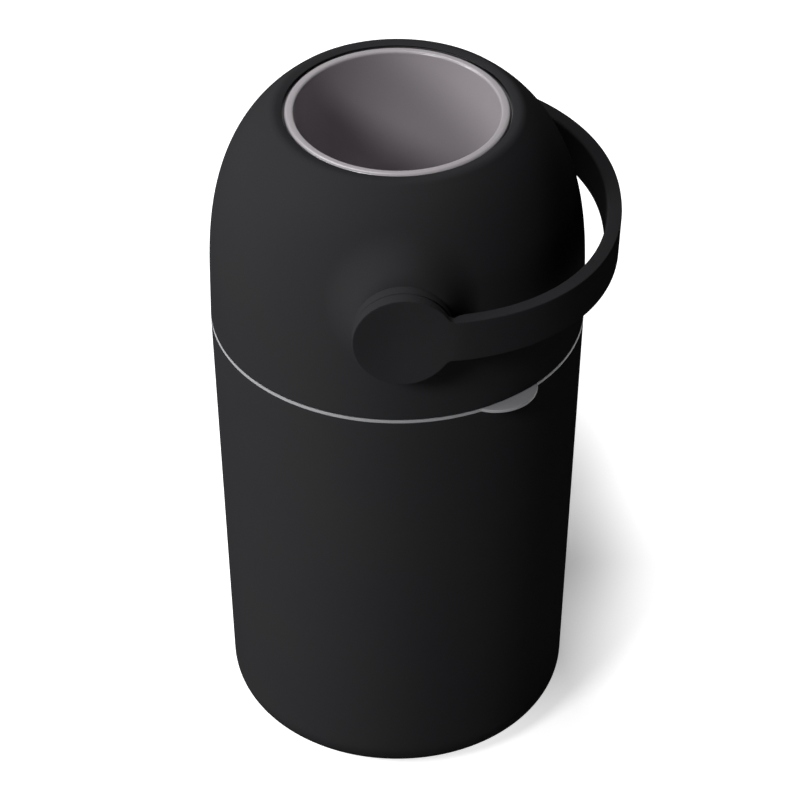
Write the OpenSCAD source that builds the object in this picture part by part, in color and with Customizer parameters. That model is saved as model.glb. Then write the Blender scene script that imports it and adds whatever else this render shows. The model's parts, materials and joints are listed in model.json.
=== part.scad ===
// Nappy bin with a turning cup.
// A tub holds the bag, a bag ring clamps the bag to the tub's mouth, and a domed lid stands
// on the ring. A ball with a cup in its top turns in the lid on two axles. The swing handle
// turns it over, so that what lies in the cup drops into the bag.
// Origin: on the floor, under the tub's axis. +Z is up and the turning axis lies along Y.
// The handle rests on the +X side and the front faces -Y.

/* [Tub] */
// Outer radius of the bin at the seam of tub and lid
body_r = 140; // [125:1:165]
// Height of the tub's rim above the floor
tub_h = 354.2; // [280:0.2:430]
// How much narrower the tub is at its base than at its rim
tub_taper = 12; // [2:1:24]
// Rounding of the tub's base
tub_round = 30.5; // [18:0.5:45]
// Thickness of the tub's wall
tub_wall = 2.6; // [1.8:0.1:4]
// Thickness of the tub's floor
tub_floor = 3.6; // [2.8:0.1:6]
// Distance of the anti-slip ring from the edge of the flat base
foot_inset = 6; // [3:0.5:12]
// Width of the anti-slip ring
foot_w = 7; // [4:0.5:12]
// How far the anti-slip ring stands out under the tub
foot_proud = 1; // [0.6:0.1:2]
// How deep the anti-slip ring sits in its groove
foot_sunk = 1.6; // [1:0.1:2]

/* [Bag ring] */
// Thickness of the ring's rim, which shows as the pale seam line
ring_t = 2.8; // [2:0.1:4]
// Width of the ring's rim
ring_w = 14; // [12:0.5:18]
// Depth of the skirt inside the tub's mouth
skirt_h = 28; // [18:1:40]
// Thickness of the skirt and of the collar
ring_wall = 2.2; // [1.6:0.1:2.6]
// Number of grip ribs round the skirt
rib_count = 12; // [6:1:24]
// Width of a grip rib
rib_w = 5; // [3:0.5:9]
// How far a grip rib stands out of the skirt
rib_proud = 1.5; // [0.8:0.1:2.5]
// Height of the collar that centres the lid
collar_h = 9; // [6:0.5:12]
// Radius of the finger tab's round outline
tab_r = 31.5; // [22:0.5:40]
// How far the finger tab reaches out of the body
tab_reach = 10.5; // [6:0.5:14]
// Direction of the finger tab, from the front towards the handle's side, in degrees
tab_angle = 36.8; // [0:0.2:90]

/* [Lid] */
// Thickness of the domed shell
lid_wall = 3; // [2.2:0.1:3.6]
// Height of the lid's straight side below the dome
lid_straight = 35; // [26:1:45]
// Fullness of the dome's outline, 2 for an ellipse
dome_power = 2.6; // [2.3:0.05:3]
// Radius of the mouth in the top of the dome
mouth_r = 84.2; // [74:0.2:92]
// Width of the flat band round the mouth
band_w = 8; // [5:0.5:10]
// How far the band drops towards the mouth
band_drop = 0.9; // [0.3:0.1:2]
// Thickness of the mouth's lip above the upper seal
lip_t = 2.85; // [2:0.05:4]
// Number of screws that hold the lid's floor
lid_screw_count = 6; // [4:1:8]
// Length of a screw post inside the lid
lid_post_h = 24; // [18:1:30]
// Thickness of the lid's floor
floor_t = 2.8; // [2:0.1:3.4]
// Width of the gasket under the lid's floor
gasket_w = 3.5; // [2.5:0.1:4]
// Height of the gasket
gasket_t = 2.4; // [1.8:0.1:3]
// Width of the seals along the ball
seal_h = 9; // [6:0.5:11]
// Thickness of the seals
seal_t = 2.9; // [2:0.1:3.4]

/* [Ball and cup] */
// Room between the lid's wall and the ball at the turning axis
ball_room = 13.8; // [12.5:0.1:18]
// Thickness of the ball's wall
ball_wall = 2.4; // [1.8:0.1:3.5]
// Distance of the joint between the ball's two halves below the axles' pads
split_drop = 7.6; // [7:0.1:15]
// Width of the cup's rolled rim
rim_w = 7.2; // [5:0.2:9]
// How much narrower the cup is at its floor than at its mouth
cup_taper = 12; // [4:1:20]
// Thickness of the cup's wall
cup_wall = 2.2; // [1.6:0.1:3.2]
// Rounding inside the cup's floor
cup_round = 20; // [10:1:28]
// Length of the screw posts under the cup
cup_post_h = 18; // [15:1:30]
// Distance of the cup's screws from the ball's middle
cup_screw_ring = 34; // [22:1:38]
// Number of screws that hold the cup and the ball's base
cup_screw_count = 4; // [3:1:6]

/* [Handle] */
// Width of the strap
strap_w = 34.5; // [24:1:40]
// Thickness of the strap
strap_t = 11; // [8:0.5:14]
// Room between the body's side and the strap
strap_room = 14.4; // [12:0.2:30]
// Fullness of the strap's outline from above, 2 for an ellipse
strap_power = 2.15; // [2:0.01:2.6]
// Radius of the round hub disc at each end of the strap
disc_r = 37.4; // [30:0.2:46]
// Fillet where the strap leaves the hub disc
strap_fillet = 7; // [3:0.5:12]
// Angle of the resting handle below the horizontal, in degrees
handle_droop = 2.9; // [0:0.1:6]
// Side of the square spigot behind each hub disc
key_side = 13.8; // [10:0.2:15]
// Length of the spigot
key_l = 8; // [6:0.5:10]

/* [Hubs] */
// How far the lid's hub bosses stand out beyond the body's radius
boss_proud = 11.4; // [8:0.2:16]
// Radius of a hub boss at its face
boss_r = 36.5; // [32:0.5:42]
// Thickness of a hub boss's wall and face
boss_wall = 3; // [2:0.1:4]
// Fillet between a hub boss and the dome
flare_r = 18; // [10:1:24]
// Height of the boss's straight neck behind its face
neck_h = 4.4; // [2:0.2:6]
// Radius of the axles
axle_r = 13; // [11.5:0.1:14]
// Radius of an axle's bore
axle_bore_r = 8; // [6:0.1:9]
// Radius of an axle's flange
axle_flange_r = 24; // [20:0.5:26]
// Thickness of an axle's flange
axle_flange_t = 4; // [3:0.1:6]
// Distance of an axle flange's screws from the turning axis
axle_screw_ring = 18.5; // [17:0.1:19]
// Number of screws in an axle's flange
axle_screw_count = 3; // [3:1:6]
// Thickness of a bush's wall
bush_wall = 3.1; // [2:0.1:4]
// Thickness of a bush's flange
bush_flange_t = 1.2; // [0.8:0.1:1.4]
// Thickness of the bearing sleeve round a bush
sleeve_wall = 4; // [3:0.1:5]
// Thickness of a thrust washer
washer_t = 1.2; // [0.8:0.1:2]
// Width of a thrust washer
washer_w = 10; // [6:0.5:13]

/* [Screws] */
// Shank radius of the small screws
screw_r = 2; // [1.5:0.1:2.2]
// Head radius of the small screws
head_r = 4; // [3:0.1:4.4]
// Head height of the small screws
head_h = 2.4; // [1.6:0.1:3]
// Length of the lid's and the cup's screws
screw_l = 14; // [10:0.5:15]
// Length of the axle flanges' screws
axle_screw_l = 9; // [7:0.5:9.5]
// Shank radius of the handle screws
handle_screw_r = 2.5; // [2:0.1:3]
// Head radius of the handle screws
handle_head_r = 5; // [4:0.1:5.6]
// Head height of the handle screws
handle_head_h = 3; // [2:0.1:4]
// Length of the handle screws
handle_screw_l = 15; // [12:0.5:17]

/* [Hidden] */
$fn = 96;

// Colours as the photograph shows them
shell_black = [0.14, 0.14, 0.15];
inner_black = [0.22, 0.22, 0.23];
pale_grey = [0.62, 0.62, 0.62];
cup_grey = [0.55, 0.54, 0.54];
rubber_grey = [0.3, 0.3, 0.31];
acetal_white = [0.88, 0.88, 0.86];
steel = [0.6, 0.6, 0.62];

// Steps along the curved outlines
curve_steps = 24;
round_steps = 10;
seat_steps = 4;

// Clearances
overrun = 1; // what a cut passes beyond a face
seam_gap = 0.3; // between the rims of tub, ring and lid
fit_gap = 0.3; // between a piece and the one it slips into
seat_gap = 0.1; // between a piece and its pocket
turn_gap = 0.8; // between the ball and the edges round it
run_gap = 0.1; // between an axle and its bush
thread_gap = 0.05; // between a screw and its hole
collar_gap = 0.4; // between the lid's wall and the ring's collar
floor_gap = 1.1; // between the lid's floor and the ring's collar

// Tub
tub_base_r = body_r - tub_taper;
base_flat_r = tub_base_r - tub_round;
base_arc_z = foot_proud + tub_round;
side_angle = atan(tub_taper / (tub_h - base_arc_z));
foot_out_r = base_flat_r - foot_inset;
foot_in_r = foot_out_r - foot_w;

// Bag ring
ring_z = tub_h + seam_gap;
ring_top_z = ring_z + ring_t;
ring_in_r = body_r - ring_w;
skirt_z = ring_z - skirt_h;
rib_out_r = tub_side_r(skirt_z) - tub_wall - fit_gap;
skirt_r = rib_out_r - rib_proud;
collar_r = body_r - lid_wall - collar_gap;

// Ball and turning axis
lid_z = ring_top_z + seam_gap;
ball_r = body_r - lid_wall - ball_room;
edge_ball_r = ball_r + turn_gap; // ball that the edges round the openings follow
seal_ball_r = ball_r + fit_gap; // ball that the seals' lips follow
seat_ball_r = seal_ball_r + seal_t + fit_gap; // ball that the seals' seats follow
lip_h = ball_width(edge_ball_r, mouth_r);
lip_under_h = lip_h - lip_t;
ball_flat_gap = 1.7; // between the ball's flat base and the lip, when the cup is turned over
ball_flat_h = lip_under_h - ball_flat_gap;
ball_base_lift = 0.9; // of the ball's base above the lid's lowest edge
pivot_z = lid_z + ball_base_lift + ball_flat_h;

// Dome, as heights above the end of the lid's straight side
dome_z = lid_z + lid_straight;
band_r = mouth_r + band_w;
mouth_z = pivot_z + lip_h;
band_z = mouth_z + band_drop;
dome_h = (band_z - dome_z) / pow(1 - pow(band_r / body_r, dome_power), 1 / dome_power);
dome_in_r = body_r - lid_wall;
dome_in_h = dome_h - lid_wall;
upper_seat_z = pivot_z + lip_under_h - seal_h - fit_gap;
upper_seat_dome_r = dome_in_r * pow(1 - pow((upper_seat_z - dome_z) / dome_in_h, dome_power),
    1 / dome_power);

// Lid floor
floor_lift = 0.8; // of the lid's floor above the lid's lowest edge
floor_z = lid_z + floor_lift;
floor_top_z = floor_z + floor_t;
seal_ledge = 1.4; // thickness of the ledge under the lower seal
lower_seat_z = floor_z + seal_ledge;
lower_seat_top_z = lower_seat_z + seal_h + fit_gap;
seat_wall = 2.4; // thickness of the wall round the lower seal
gasket_inset = 0.5; // of the gasket from the ring's inner edge
gasket_in_r = ring_in_r + gasket_inset;
gasket_out_r = gasket_in_r + gasket_w;
groove_roof = 2.1; // thickness above the gasket's groove
riser_r = collar_r - ring_wall - floor_gap;
flange_z = ring_top_z + collar_h + floor_gap;
flange_r = dome_in_r - collar_gap;
pocket_r = head_r + collar_gap;
pocket_h = head_h + fit_gap;
clamp_t = 2.8; // thickness that a small screw clamps
lid_boss_top_z = floor_z + pocket_h + clamp_t;
lid_post_z = lid_boss_top_z + seat_gap;
lid_post_r = 5;
lid_boss_r = lid_post_r + seat_wall / 2;
lid_post_room = 3; // between a screw post and the ball
gasket_wall = 4.1; // between the gasket and the pocket of a screw's head
lid_post_ring = gasket_in_r - gasket_wall - pocket_r;
post_rib_t = 2.4; // thickness of the rib behind a screw post
pilot_extra = 1.5; // of a screw hole beyond the screw's end

// Hubs, as distances along the turning axis from its middle
boss_face = body_r + boss_proud;
boss_cap = boss_face - boss_wall;
disc_back = boss_face + turn_gap;
disc_face = disc_back + strap_t;
flare_angle = 50; // sweep of the flare's fillet, in degrees
bush_in_r = axle_r + run_gap;
bush_out_r = bush_in_r + bush_wall;
sleeve_in_r = bush_out_r + seat_gap;
sleeve_out_r = sleeve_in_r + sleeve_wall;
bush_room = 3.6; // between the ball and a bush's flange
bush_face = ball_r + bush_room;
sleeve_face = bush_face + bush_flange_t;
washer_sunk = washer_t - turn_gap + fit_gap;
washer_in_r = bush_in_r + fit_gap;
washer_out_r = washer_in_r + washer_w;
bush_end = boss_face - washer_sunk - seat_gap;
pad_t = 9.2; // thickness of the ball's pad behind an axle's flange
pad_face = ball_r - pad_t;
pad_r = axle_flange_r + ball_wall;
key_gap = 0.1; // on each side of the handle's square spigot
key_end = disc_back - key_l;
key_wall = 3; // thickness between an axle's bore and its square socket
axle_bore_end = key_end - seat_gap - key_wall;
axle_end = disc_back - fit_gap;

// Turning stops: a lug on the ball swings between the ends of an arc on the bearing sleeve
stop_lug_w = 8;
stop_rise = 5.5; // of the stop arc beyond the sleeve
stop_r = sleeve_out_r + stop_rise;
lug_in_r = sleeve_out_r + fit_gap;
lug_out_r = stop_r - fit_gap;
lug_face = bush_face - turn_gap / 2;
stop_face = ball_r + turn_gap / 2;
stop_back = sleeve_face + stop_rise;
stop_slack = 1; // free angle before the lug meets the arc, in degrees
stop_half = asin(stop_lug_w / 2 / lug_in_r) + stop_slack;

// Cup
rim_gap = 1; // dark gap between the rim and the mouth
rim_r = mouth_r - rim_gap;
bead_r = rim_w / 2;
rim_drop = 0.15; // of the rim's top below the mouth
bead_h = lip_h - rim_drop - bead_r;
cup_r = rim_r - rim_w;
cup_flange_t = 2;
cup_seat_h = lip_under_h - cup_flange_t - seat_gap;
cup_flange_r = ball_width(ball_r, cup_seat_h + cup_flange_t) - seat_gap;
base_floor_h = -ball_flat_h + ball_wall;
cup_pad_h = -ball_flat_h + pocket_h + clamp_t;
cup_post_end_h = cup_pad_h + seat_gap;
cup_under_h = cup_post_end_h + cup_post_h;
cup_floor_h = cup_under_h + cup_wall;
cup_floor_r = cup_r - cup_taper;
cup_post_r = 5;
cup_pad_r = cup_post_r + ball_wall;
ball_split = pad_r + split_drop;
spigot_h = 6; // of the base's spigot above and below the ball's joint
spigot_r = ball_width(ball_r - ball_wall, ball_split) - fit_gap;

// Handle
strap_x = body_r + strap_room + strap_t;
boss_room = 1.4; // between a hub boss's side and the strap
fillet_x = sqrt(pow(disc_r + strap_fillet, 2) - pow(strap_w / 2 + strap_fillet, 2));

// Outer radius of the tub's side at height z
function tub_side_r(z) = body_r - (tub_h - z) * tan(side_angle);

// Distance from the axis at which a ball of radius r is h away from its middle
function ball_width(r, h) = sqrt(r * r - h * h);

// Points of an arc about c, from angle a0 to a1
function arc(c, r, a0, a1, steps) =
    [for (i = [0 : steps]) c + r * [cos(a0 + (a1 - a0) * i / steps), sin(a0 + (a1 - a0) * i / steps)]];

// Distance from the middle of a superellipse with half axes a and b to its edge at angle t
function super_reach(a, b, n, t) = pow(pow(abs(cos(t)) / a, n) + pow(abs(sin(t)) / b, n), -1 / n);

// Points of a superellipse, from angle t0 to t1
function super_arc(a, b, n, t0, t1, steps) =
    [for (i = [0 : steps])
        let (t = t0 + (t1 - t0) * i / steps) super_reach(a, b, n, t) * [cos(t), sin(t)]];

// Points with z added to their heights
function raised(points, z) = [for (p = points) p + [0, z]];

// Points on a ball about the pivot, from height z0 to z1, as distance from the axis and height
function ball_edge(r, z0, z1) =
    [for (i = [0 : seat_steps])
        let (z = z0 + (z1 - z0) * i / seat_steps) [ball_width(r, z - pivot_z), z]];

// Upright tube between heights z0 and z1
module tube(r_in, r_out, z0, z1) {
    translate([0, 0, z0])
        difference() {
            cylinder(r = r_out, h = z1 - z0);
            translate([0, 0, -overrun]) cylinder(r = r_in, h = z1 - z0 + 2 * overrun);
        }
}

// Upright cylinder between heights z0 and z1
module rod(r, z0, z1) {
    translate([0, 0, z0]) cylinder(r = r, h = z1 - z0);
}

// Puts what is drawn along +Z on the turning axis, reaching out to the front or to the rear
module on_axis(rear = false) {
    translate([0, 0, pivot_z]) mirror([0, rear ? 1 : 0, 0]) rotate([90, 0, 0]) children();
}

// Draws the children at both hubs
module at_both_hubs() {
    on_axis() children();
    on_axis(rear = true) children();
}

// Copies the children in a ring about the upright axis
module ring_of(count, r) {
    for (i = [0 : count - 1]) rotate((i + 1 / 2) * 360 / count) translate([r, 0, 0]) children();
}

// Pan-head screw: head below the origin with a cross recess, shank upwards
module screw(shank_r, shank_l, screw_head_r, screw_head_h) {
    point_l = shank_r;
    recess_w = shank_r / 2;
    difference() {
        union() {
            rod(shank_r, 0, shank_l - point_l);
            translate([0, 0, shank_l - point_l]) cylinder(r1 = shank_r, r2 = shank_r / 3, h = point_l);
            translate([0, 0, -screw_head_h])
                cylinder(r1 = screw_head_r - screw_head_h / 3, r2 = screw_head_r, h = screw_head_h);
        }
        for (turn = [0, 90])
            rotate(turn)
                translate([-screw_head_r / 2, -recess_w / 2, -screw_head_h - overrun])
                    cube([screw_head_r, recess_w, screw_head_h / 2 + overrun]);
    }
}

// Hole for a screw from its bearing face, with a pocket for its head below
module screw_cut(shank_r, depth, screw_head_r, head_depth) {
    rod(shank_r, 0, depth);
    if (head_depth > 0) rod(screw_head_r, -head_depth - overrun, 0);
}

// Shell between two balls about the pivot, between two heights above it
module ball_zone(r_in, r_out, h0, h1) {
    translate([0, 0, pivot_z])
        intersection() {
            difference() {
                sphere(r = r_out);
                sphere(r = r_in);
            }
            rod(r_out + overrun, h0, h1);
        }
}

// Round bag tub with a rounded base
module tub() {
    floor_angle = asin((tub_round - tub_floor) / (tub_round - tub_wall));
    centre = [base_flat_r, base_arc_z];
    color(shell_black)
        difference() {
            rotate_extrude()
                polygon(concat(
                    [[0, foot_proud]],
                    arc(centre, tub_round, -90, -side_angle, round_steps),
                    [[body_r, tub_h], [body_r - tub_wall, tub_h]],
                    arc(centre, tub_round - tub_wall, -side_angle, -floor_angle, round_steps),
                    [[0, foot_proud + tub_floor]]
                ));
            tube(foot_in_r - seat_gap, foot_out_r + seat_gap, foot_proud - overrun,
                foot_proud + foot_sunk);
        }
}

// Anti-slip ring in the groove under the tub
module foot_ring() {
    color(rubber_grey) tube(foot_in_r, foot_out_r, 0, foot_proud + foot_sunk - seat_gap);
}

// Ring that clamps the bag to the tub's mouth, with a finger tab to lift it by
module bag_ring() {
    skirt_in_r = skirt_r - ring_wall;
    collar_in_r = collar_r - ring_wall;
    color(pale_grey)
        rotate(tab_angle - 90) {
            difference() {
                union() {
                    rod(body_r, ring_z, ring_top_z);
                    translate([body_r + tab_reach - tab_r, 0, 0]) rod(tab_r, ring_z, ring_top_z);
                }
                rod(ring_in_r, ring_z - overrun, ring_top_z + overrun);
            }
            tube(skirt_in_r, skirt_r, skirt_z, ring_z + ring_t / 2);
            tube(collar_in_r, collar_r, ring_z + ring_t / 2, ring_top_z + collar_h);
            intersection() {
                rod(rib_out_r, skirt_z, ring_z + ring_t / 2);
                ring_of(rib_count, skirt_r - ring_wall / 2)
                    translate([0, -rib_w / 2, skirt_z]) cube([ring_w, rib_w, skirt_h + ring_t]);
            }
        }
}

// Space inside the dome, with the upper seal's seat and the mouth
module dome_void() {
    seat_angle = atan2(upper_seat_z - dome_z, upper_seat_dome_r);
    rotate_extrude()
        polygon(concat(
            [[0, lid_z - overrun], [dome_in_r, lid_z - overrun]],
            raised(super_arc(dome_in_r, dome_in_h, dome_power, 0, seat_angle, curve_steps), dome_z),
            ball_edge(seat_ball_r, upper_seat_z, pivot_z + lip_under_h),
            ball_edge(edge_ball_r, pivot_z + lip_under_h, mouth_z),
            [[mouth_r, band_z + overrun], [0, band_z + overrun]]
        ));
}

// Solid outline of the dome, without its bosses
module dome_solid() {
    band_angle = atan2(band_z - dome_z, band_r);
    rotate_extrude()
        polygon(concat(
            [[0, lid_z], [body_r, lid_z]],
            raised(super_arc(body_r, dome_h, dome_power, 0, band_angle, curve_steps), dome_z),
            [[mouth_r, mouth_z], [0, mouth_z]]
        ));
}

// Boss that flares out of the dome round the turning axis
module hub_flare() {
    root = pad_face;
    neck_face = boss_face - neck_h;
    flare = arc([boss_r + flare_r, neck_face], flare_r, 180, 180 + flare_angle, round_steps);
    last = flare[round_steps];
    foot_r = last.x + (last.y - root) * tan(flare_angle);
    rotate_extrude()
        polygon(concat([[0, boss_face], [boss_r, boss_face]], flare, [[foot_r, root], [0, root]]));
}

// Bearing sleeve inside a boss, with the arc that stops the ball's lug
module hub_sleeve() {
    tube(sleeve_in_r - seat_gap, sleeve_out_r, sleeve_face, boss_cap + boss_wall / 2);
    rotate(stop_half)
        rotate_extrude(angle = 180 - 2 * stop_half)
            polygon([
                [lug_in_r, stop_face], [stop_r, stop_face], [stop_r, stop_back],
                [sleeve_out_r - sleeve_wall / 2, stop_back], [sleeve_out_r - sleeve_wall / 2, sleeve_face],
                [lug_in_r, sleeve_face]
            ]);
}

// Screw post inside the lid, with the rib that ties it to the wall
module lid_post() {
    rib_z = flange_z + floor_t + floor_gap;
    rod(lid_post_r, lid_post_z, lid_post_z + lid_post_h);
    translate([0, -post_rib_t / 2, rib_z])
        cube([dome_in_r + lid_wall / 2 - lid_post_ring, post_rib_t, lid_post_z + lid_post_h - rib_z]);
}

// Domed outer shell of the lid
module dome_shell() {
    color(shell_black)
        difference() {
            union() {
                difference() {
                    union() {
                        dome_solid();
                        at_both_hubs() hub_flare();
                    }
                    dome_void();
                    at_both_hubs() tube(sleeve_out_r, boss_r - boss_wall, ball_r - overrun, boss_cap);
                }
                at_both_hubs() hub_sleeve();
                difference() {
                    ring_of(lid_screw_count, lid_post_ring) lid_post();
                    translate([0, 0, pivot_z]) sphere(r = ball_r + lid_post_room);
                }
            }
            at_both_hubs() {
                rod(sleeve_in_r, ball_r, boss_face + overrun);
                rod(washer_out_r + seat_gap, boss_face - washer_sunk, boss_face + overrun);
            }
            ring_of(lid_screw_count, lid_post_ring)
                translate([0, 0, floor_z + pocket_h])
                    screw_cut(screw_r + thread_gap, screw_l + pilot_extra, pocket_r, 0);
        }
}

// Annular floor that closes the lid round the ball
module lid_floor() {
    groove_z = lid_z + gasket_t + seat_gap;
    color(inner_black)
        difference() {
            union() {
                rotate_extrude()
                    polygon(concat(
                        [
                            [ball_width(edge_ball_r, floor_z - pivot_z), floor_z],
                            [ball_width(edge_ball_r, lower_seat_z - pivot_z), lower_seat_z]
                        ],
                        ball_edge(seat_ball_r, lower_seat_z, lower_seat_top_z),
                        [
                            [ball_width(seat_ball_r, lower_seat_top_z - pivot_z) + seat_wall,
                                lower_seat_top_z],
                            [ball_width(seat_ball_r, floor_top_z - pivot_z) + seat_wall, floor_top_z],
                            [gasket_in_r - seat_wall, floor_top_z],
                            [gasket_in_r - seat_wall, groove_z + groove_roof],
                            [riser_r - floor_t, groove_z + groove_roof],
                            [riser_r - floor_t, flange_z + floor_t],
                            [flange_r, flange_z + floor_t],
                            [flange_r, flange_z],
                            [riser_r, flange_z],
                            [riser_r, floor_z]
                        ]
                    ));
                ring_of(lid_screw_count, lid_post_ring) rod(lid_boss_r, floor_z, lid_boss_top_z);
            }
            tube(gasket_in_r - seat_gap, gasket_out_r + seat_gap, floor_z - overrun, groove_z);
            ring_of(lid_screw_count, lid_post_ring)
                translate([0, 0, floor_z + pocket_h])
                    screw_cut(screw_r + seat_gap, clamp_t + overrun, pocket_r, pocket_h);
        }
}

// Gasket that seals the lid's floor on the bag ring
module lid_gasket() {
    color(rubber_grey) tube(gasket_in_r, gasket_out_r, lid_z, lid_z + gasket_t);
}

// Soft seal between the dome's mouth and the ball
module upper_seal() {
    color(rubber_grey)
        ball_zone(seal_ball_r, seal_ball_r + seal_t, lip_under_h - seat_gap - seal_h,
            lip_under_h - seat_gap);
}

// Soft seal between the lid's floor and the ball
module lower_seal() {
    color(rubber_grey)
        ball_zone(seal_ball_r, seal_ball_r + seal_t, lower_seat_z + seat_gap - pivot_z,
            lower_seat_z + seat_gap + seal_h - pivot_z);
}

// Screws that hold the lid's floor to the dome
module lid_screws() {
    color(steel)
        ring_of(lid_screw_count, lid_post_ring)
            translate([0, 0, floor_z + pocket_h]) screw(screw_r, screw_l, head_r, head_h);
}

// Plain bearing bush of one hub
module bush(rear = false) {
    color(acetal_white)
        on_axis(rear) {
            tube(bush_in_r, bush_out_r, bush_face, bush_end);
            tube(bush_in_r, sleeve_out_r - fit_gap, bush_face, sleeve_face - thread_gap);
        }
}

module front_bush() {
    bush();
}

module rear_bush() {
    bush(rear = true);
}

// Washers between the hub bosses and the handle
module thrust_washers() {
    back = boss_face - washer_sunk;
    color(acetal_white) at_both_hubs() tube(washer_in_r, washer_out_r, back, back + washer_t);
}

// Upper part of the ball, which carries the axles and the cup
module rotor_shell() {
    color(inner_black)
        difference() {
            union() {
                ball_zone(ball_r - ball_wall, ball_r, -ball_split, cup_seat_h);
                intersection() {
                    translate([0, 0, pivot_z]) sphere(r = ball_r);
                    at_both_hubs() rod(pad_r, pad_face, ball_r + overrun);
                }
                at_both_hubs()
                    intersection() {
                        tube(lug_in_r, lug_out_r, pad_face, lug_face);
                        translate([-body_r, -stop_lug_w / 2, pad_face])
                            cube([body_r, stop_lug_w, pad_t + bush_room]);
                    }
            }
            at_both_hubs() {
                rod(axle_r + seat_gap, pad_face - overrun, ball_r + overrun);
                ring_of(axle_screw_count, axle_screw_ring)
                    rod(screw_r + thread_gap, pad_face - overrun,
                        pad_face - axle_flange_t + axle_screw_l + pilot_extra / 3);
            }
        }
}

// Flat-bottomed lower part of the ball
module rotor_base() {
    color(inner_black)
        difference() {
            union() {
                ball_zone(ball_r - ball_wall, ball_r, -ball_flat_h, -ball_split - thread_gap);
                translate([0, 0, pivot_z]) {
                    rod(ball_width(ball_r - ball_wall / 2, ball_flat_h), -ball_flat_h, base_floor_h);
                    tube(spigot_r - ball_wall, spigot_r, -ball_split - spigot_h, -ball_split + spigot_h);
                    ring_of(cup_screw_count, cup_screw_ring) rod(cup_pad_r, -ball_flat_h, cup_pad_h);
                }
            }
            translate([0, 0, pivot_z - ball_flat_h + pocket_h])
                ring_of(cup_screw_count, cup_screw_ring)
                    screw_cut(screw_r + seat_gap, clamp_t + overrun, pocket_r, pocket_h);
        }
}

// Cup with a rolled rim
module cup_liner() {
    rim_centre = [rim_r - bead_r, bead_h];
    floor_centre = [cup_floor_r - cup_round, cup_floor_h + cup_round];
    color(cup_grey)
        difference() {
            translate([0, 0, pivot_z]) {
                rotate_extrude()
                    polygon(concat(
                        [[0, cup_floor_h]],
                        arc(floor_centre, cup_round, -90, 0, round_steps),
                        arc(rim_centre, bead_r, 180, 0, curve_steps),
                        [
                            [rim_r, cup_seat_h + cup_flange_t],
                            [cup_flange_r, cup_seat_h + cup_flange_t],
                            [cup_flange_r, cup_seat_h],
                            [cup_r + cup_wall, cup_seat_h]
                        ],
                        arc(floor_centre, cup_round + cup_wall, 0, -90, round_steps),
                        [[0, cup_under_h]]
                    ));
                ring_of(cup_screw_count, cup_screw_ring)
                    rod(cup_post_r, cup_post_end_h, cup_under_h + cup_wall / 2);
            }
            translate([0, 0, pivot_z - ball_flat_h + pocket_h])
                ring_of(cup_screw_count, cup_screw_ring)
                    screw_cut(screw_r + thread_gap, screw_l + pilot_extra, pocket_r, 0);
        }
}

// Screws that clamp the ball's base and shell to the cup
module cup_screws() {
    color(steel)
        translate([0, 0, pivot_z - ball_flat_h + pocket_h])
            ring_of(cup_screw_count, cup_screw_ring) screw(screw_r, screw_l, head_r, head_h);
}

// Axle of one hub: flange inside the ball, square socket for the handle at its outer end
module axle(rear = false) {
    socket = key_side + 2 * key_gap;
    flange_face = pad_face - seat_gap;
    color(acetal_white)
        on_axis(rear)
            difference() {
                union() {
                    rod(axle_flange_r, flange_face - axle_flange_t, flange_face);
                    rod(axle_r, flange_face - axle_flange_t, axle_end);
                }
                rod(axle_bore_r, flange_face - axle_flange_t - overrun, axle_bore_end);
                rod(handle_screw_r + seat_gap, axle_bore_end - overrun, axle_end);
                rotate(-handle_droop)
                    translate([-socket / 2, -socket / 2, key_end - seat_gap])
                        cube([socket, socket, key_l + overrun]);
                ring_of(axle_screw_count, axle_screw_ring)
                    rod(screw_r + seat_gap, flange_face - axle_flange_t - overrun,
                        flange_face + overrun);
            }
}

module front_axle() {
    axle();
}

module rear_axle() {
    axle(rear = true);
}

// Screws that hold the axles' flanges to the ball
module axle_screws() {
    color(steel)
        at_both_hubs()
            ring_of(axle_screw_count, axle_screw_ring)
                translate([0, 0, pad_face - seat_gap - axle_flange_t])
                    screw(screw_r, axle_screw_l, head_r, head_h);
}

// Outline of the handle from above
module handle_plan() {
    back_x = -disc_r - overrun;
    outer = super_arc(strap_x, disc_face, strap_power, 90, -90, 2 * curve_steps);
    inner = super_arc(strap_x - strap_t, disc_back, strap_power, -90, 90, 2 * curve_steps);
    polygon(concat(
        [[back_x, disc_face]], outer, [[back_x, -disc_face], [back_x, -disc_back]], inner,
        [[back_x, disc_back]]
    ));
}

// Outline of the handle from the front: a round disc that runs into the strap
module handle_side() {
    half_w = strap_w / 2;
    circle(r = disc_r);
    translate([0, -half_w]) square([strap_x + overrun, strap_w]);
    for (side = [1, -1])
        difference() {
            polygon([[0, 0], [fillet_x, side * half_w], [fillet_x, side * (half_w + strap_fillet)]]);
            translate([fillet_x, side * (half_w + strap_fillet)]) circle(r = strap_fillet);
        }
}

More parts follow.
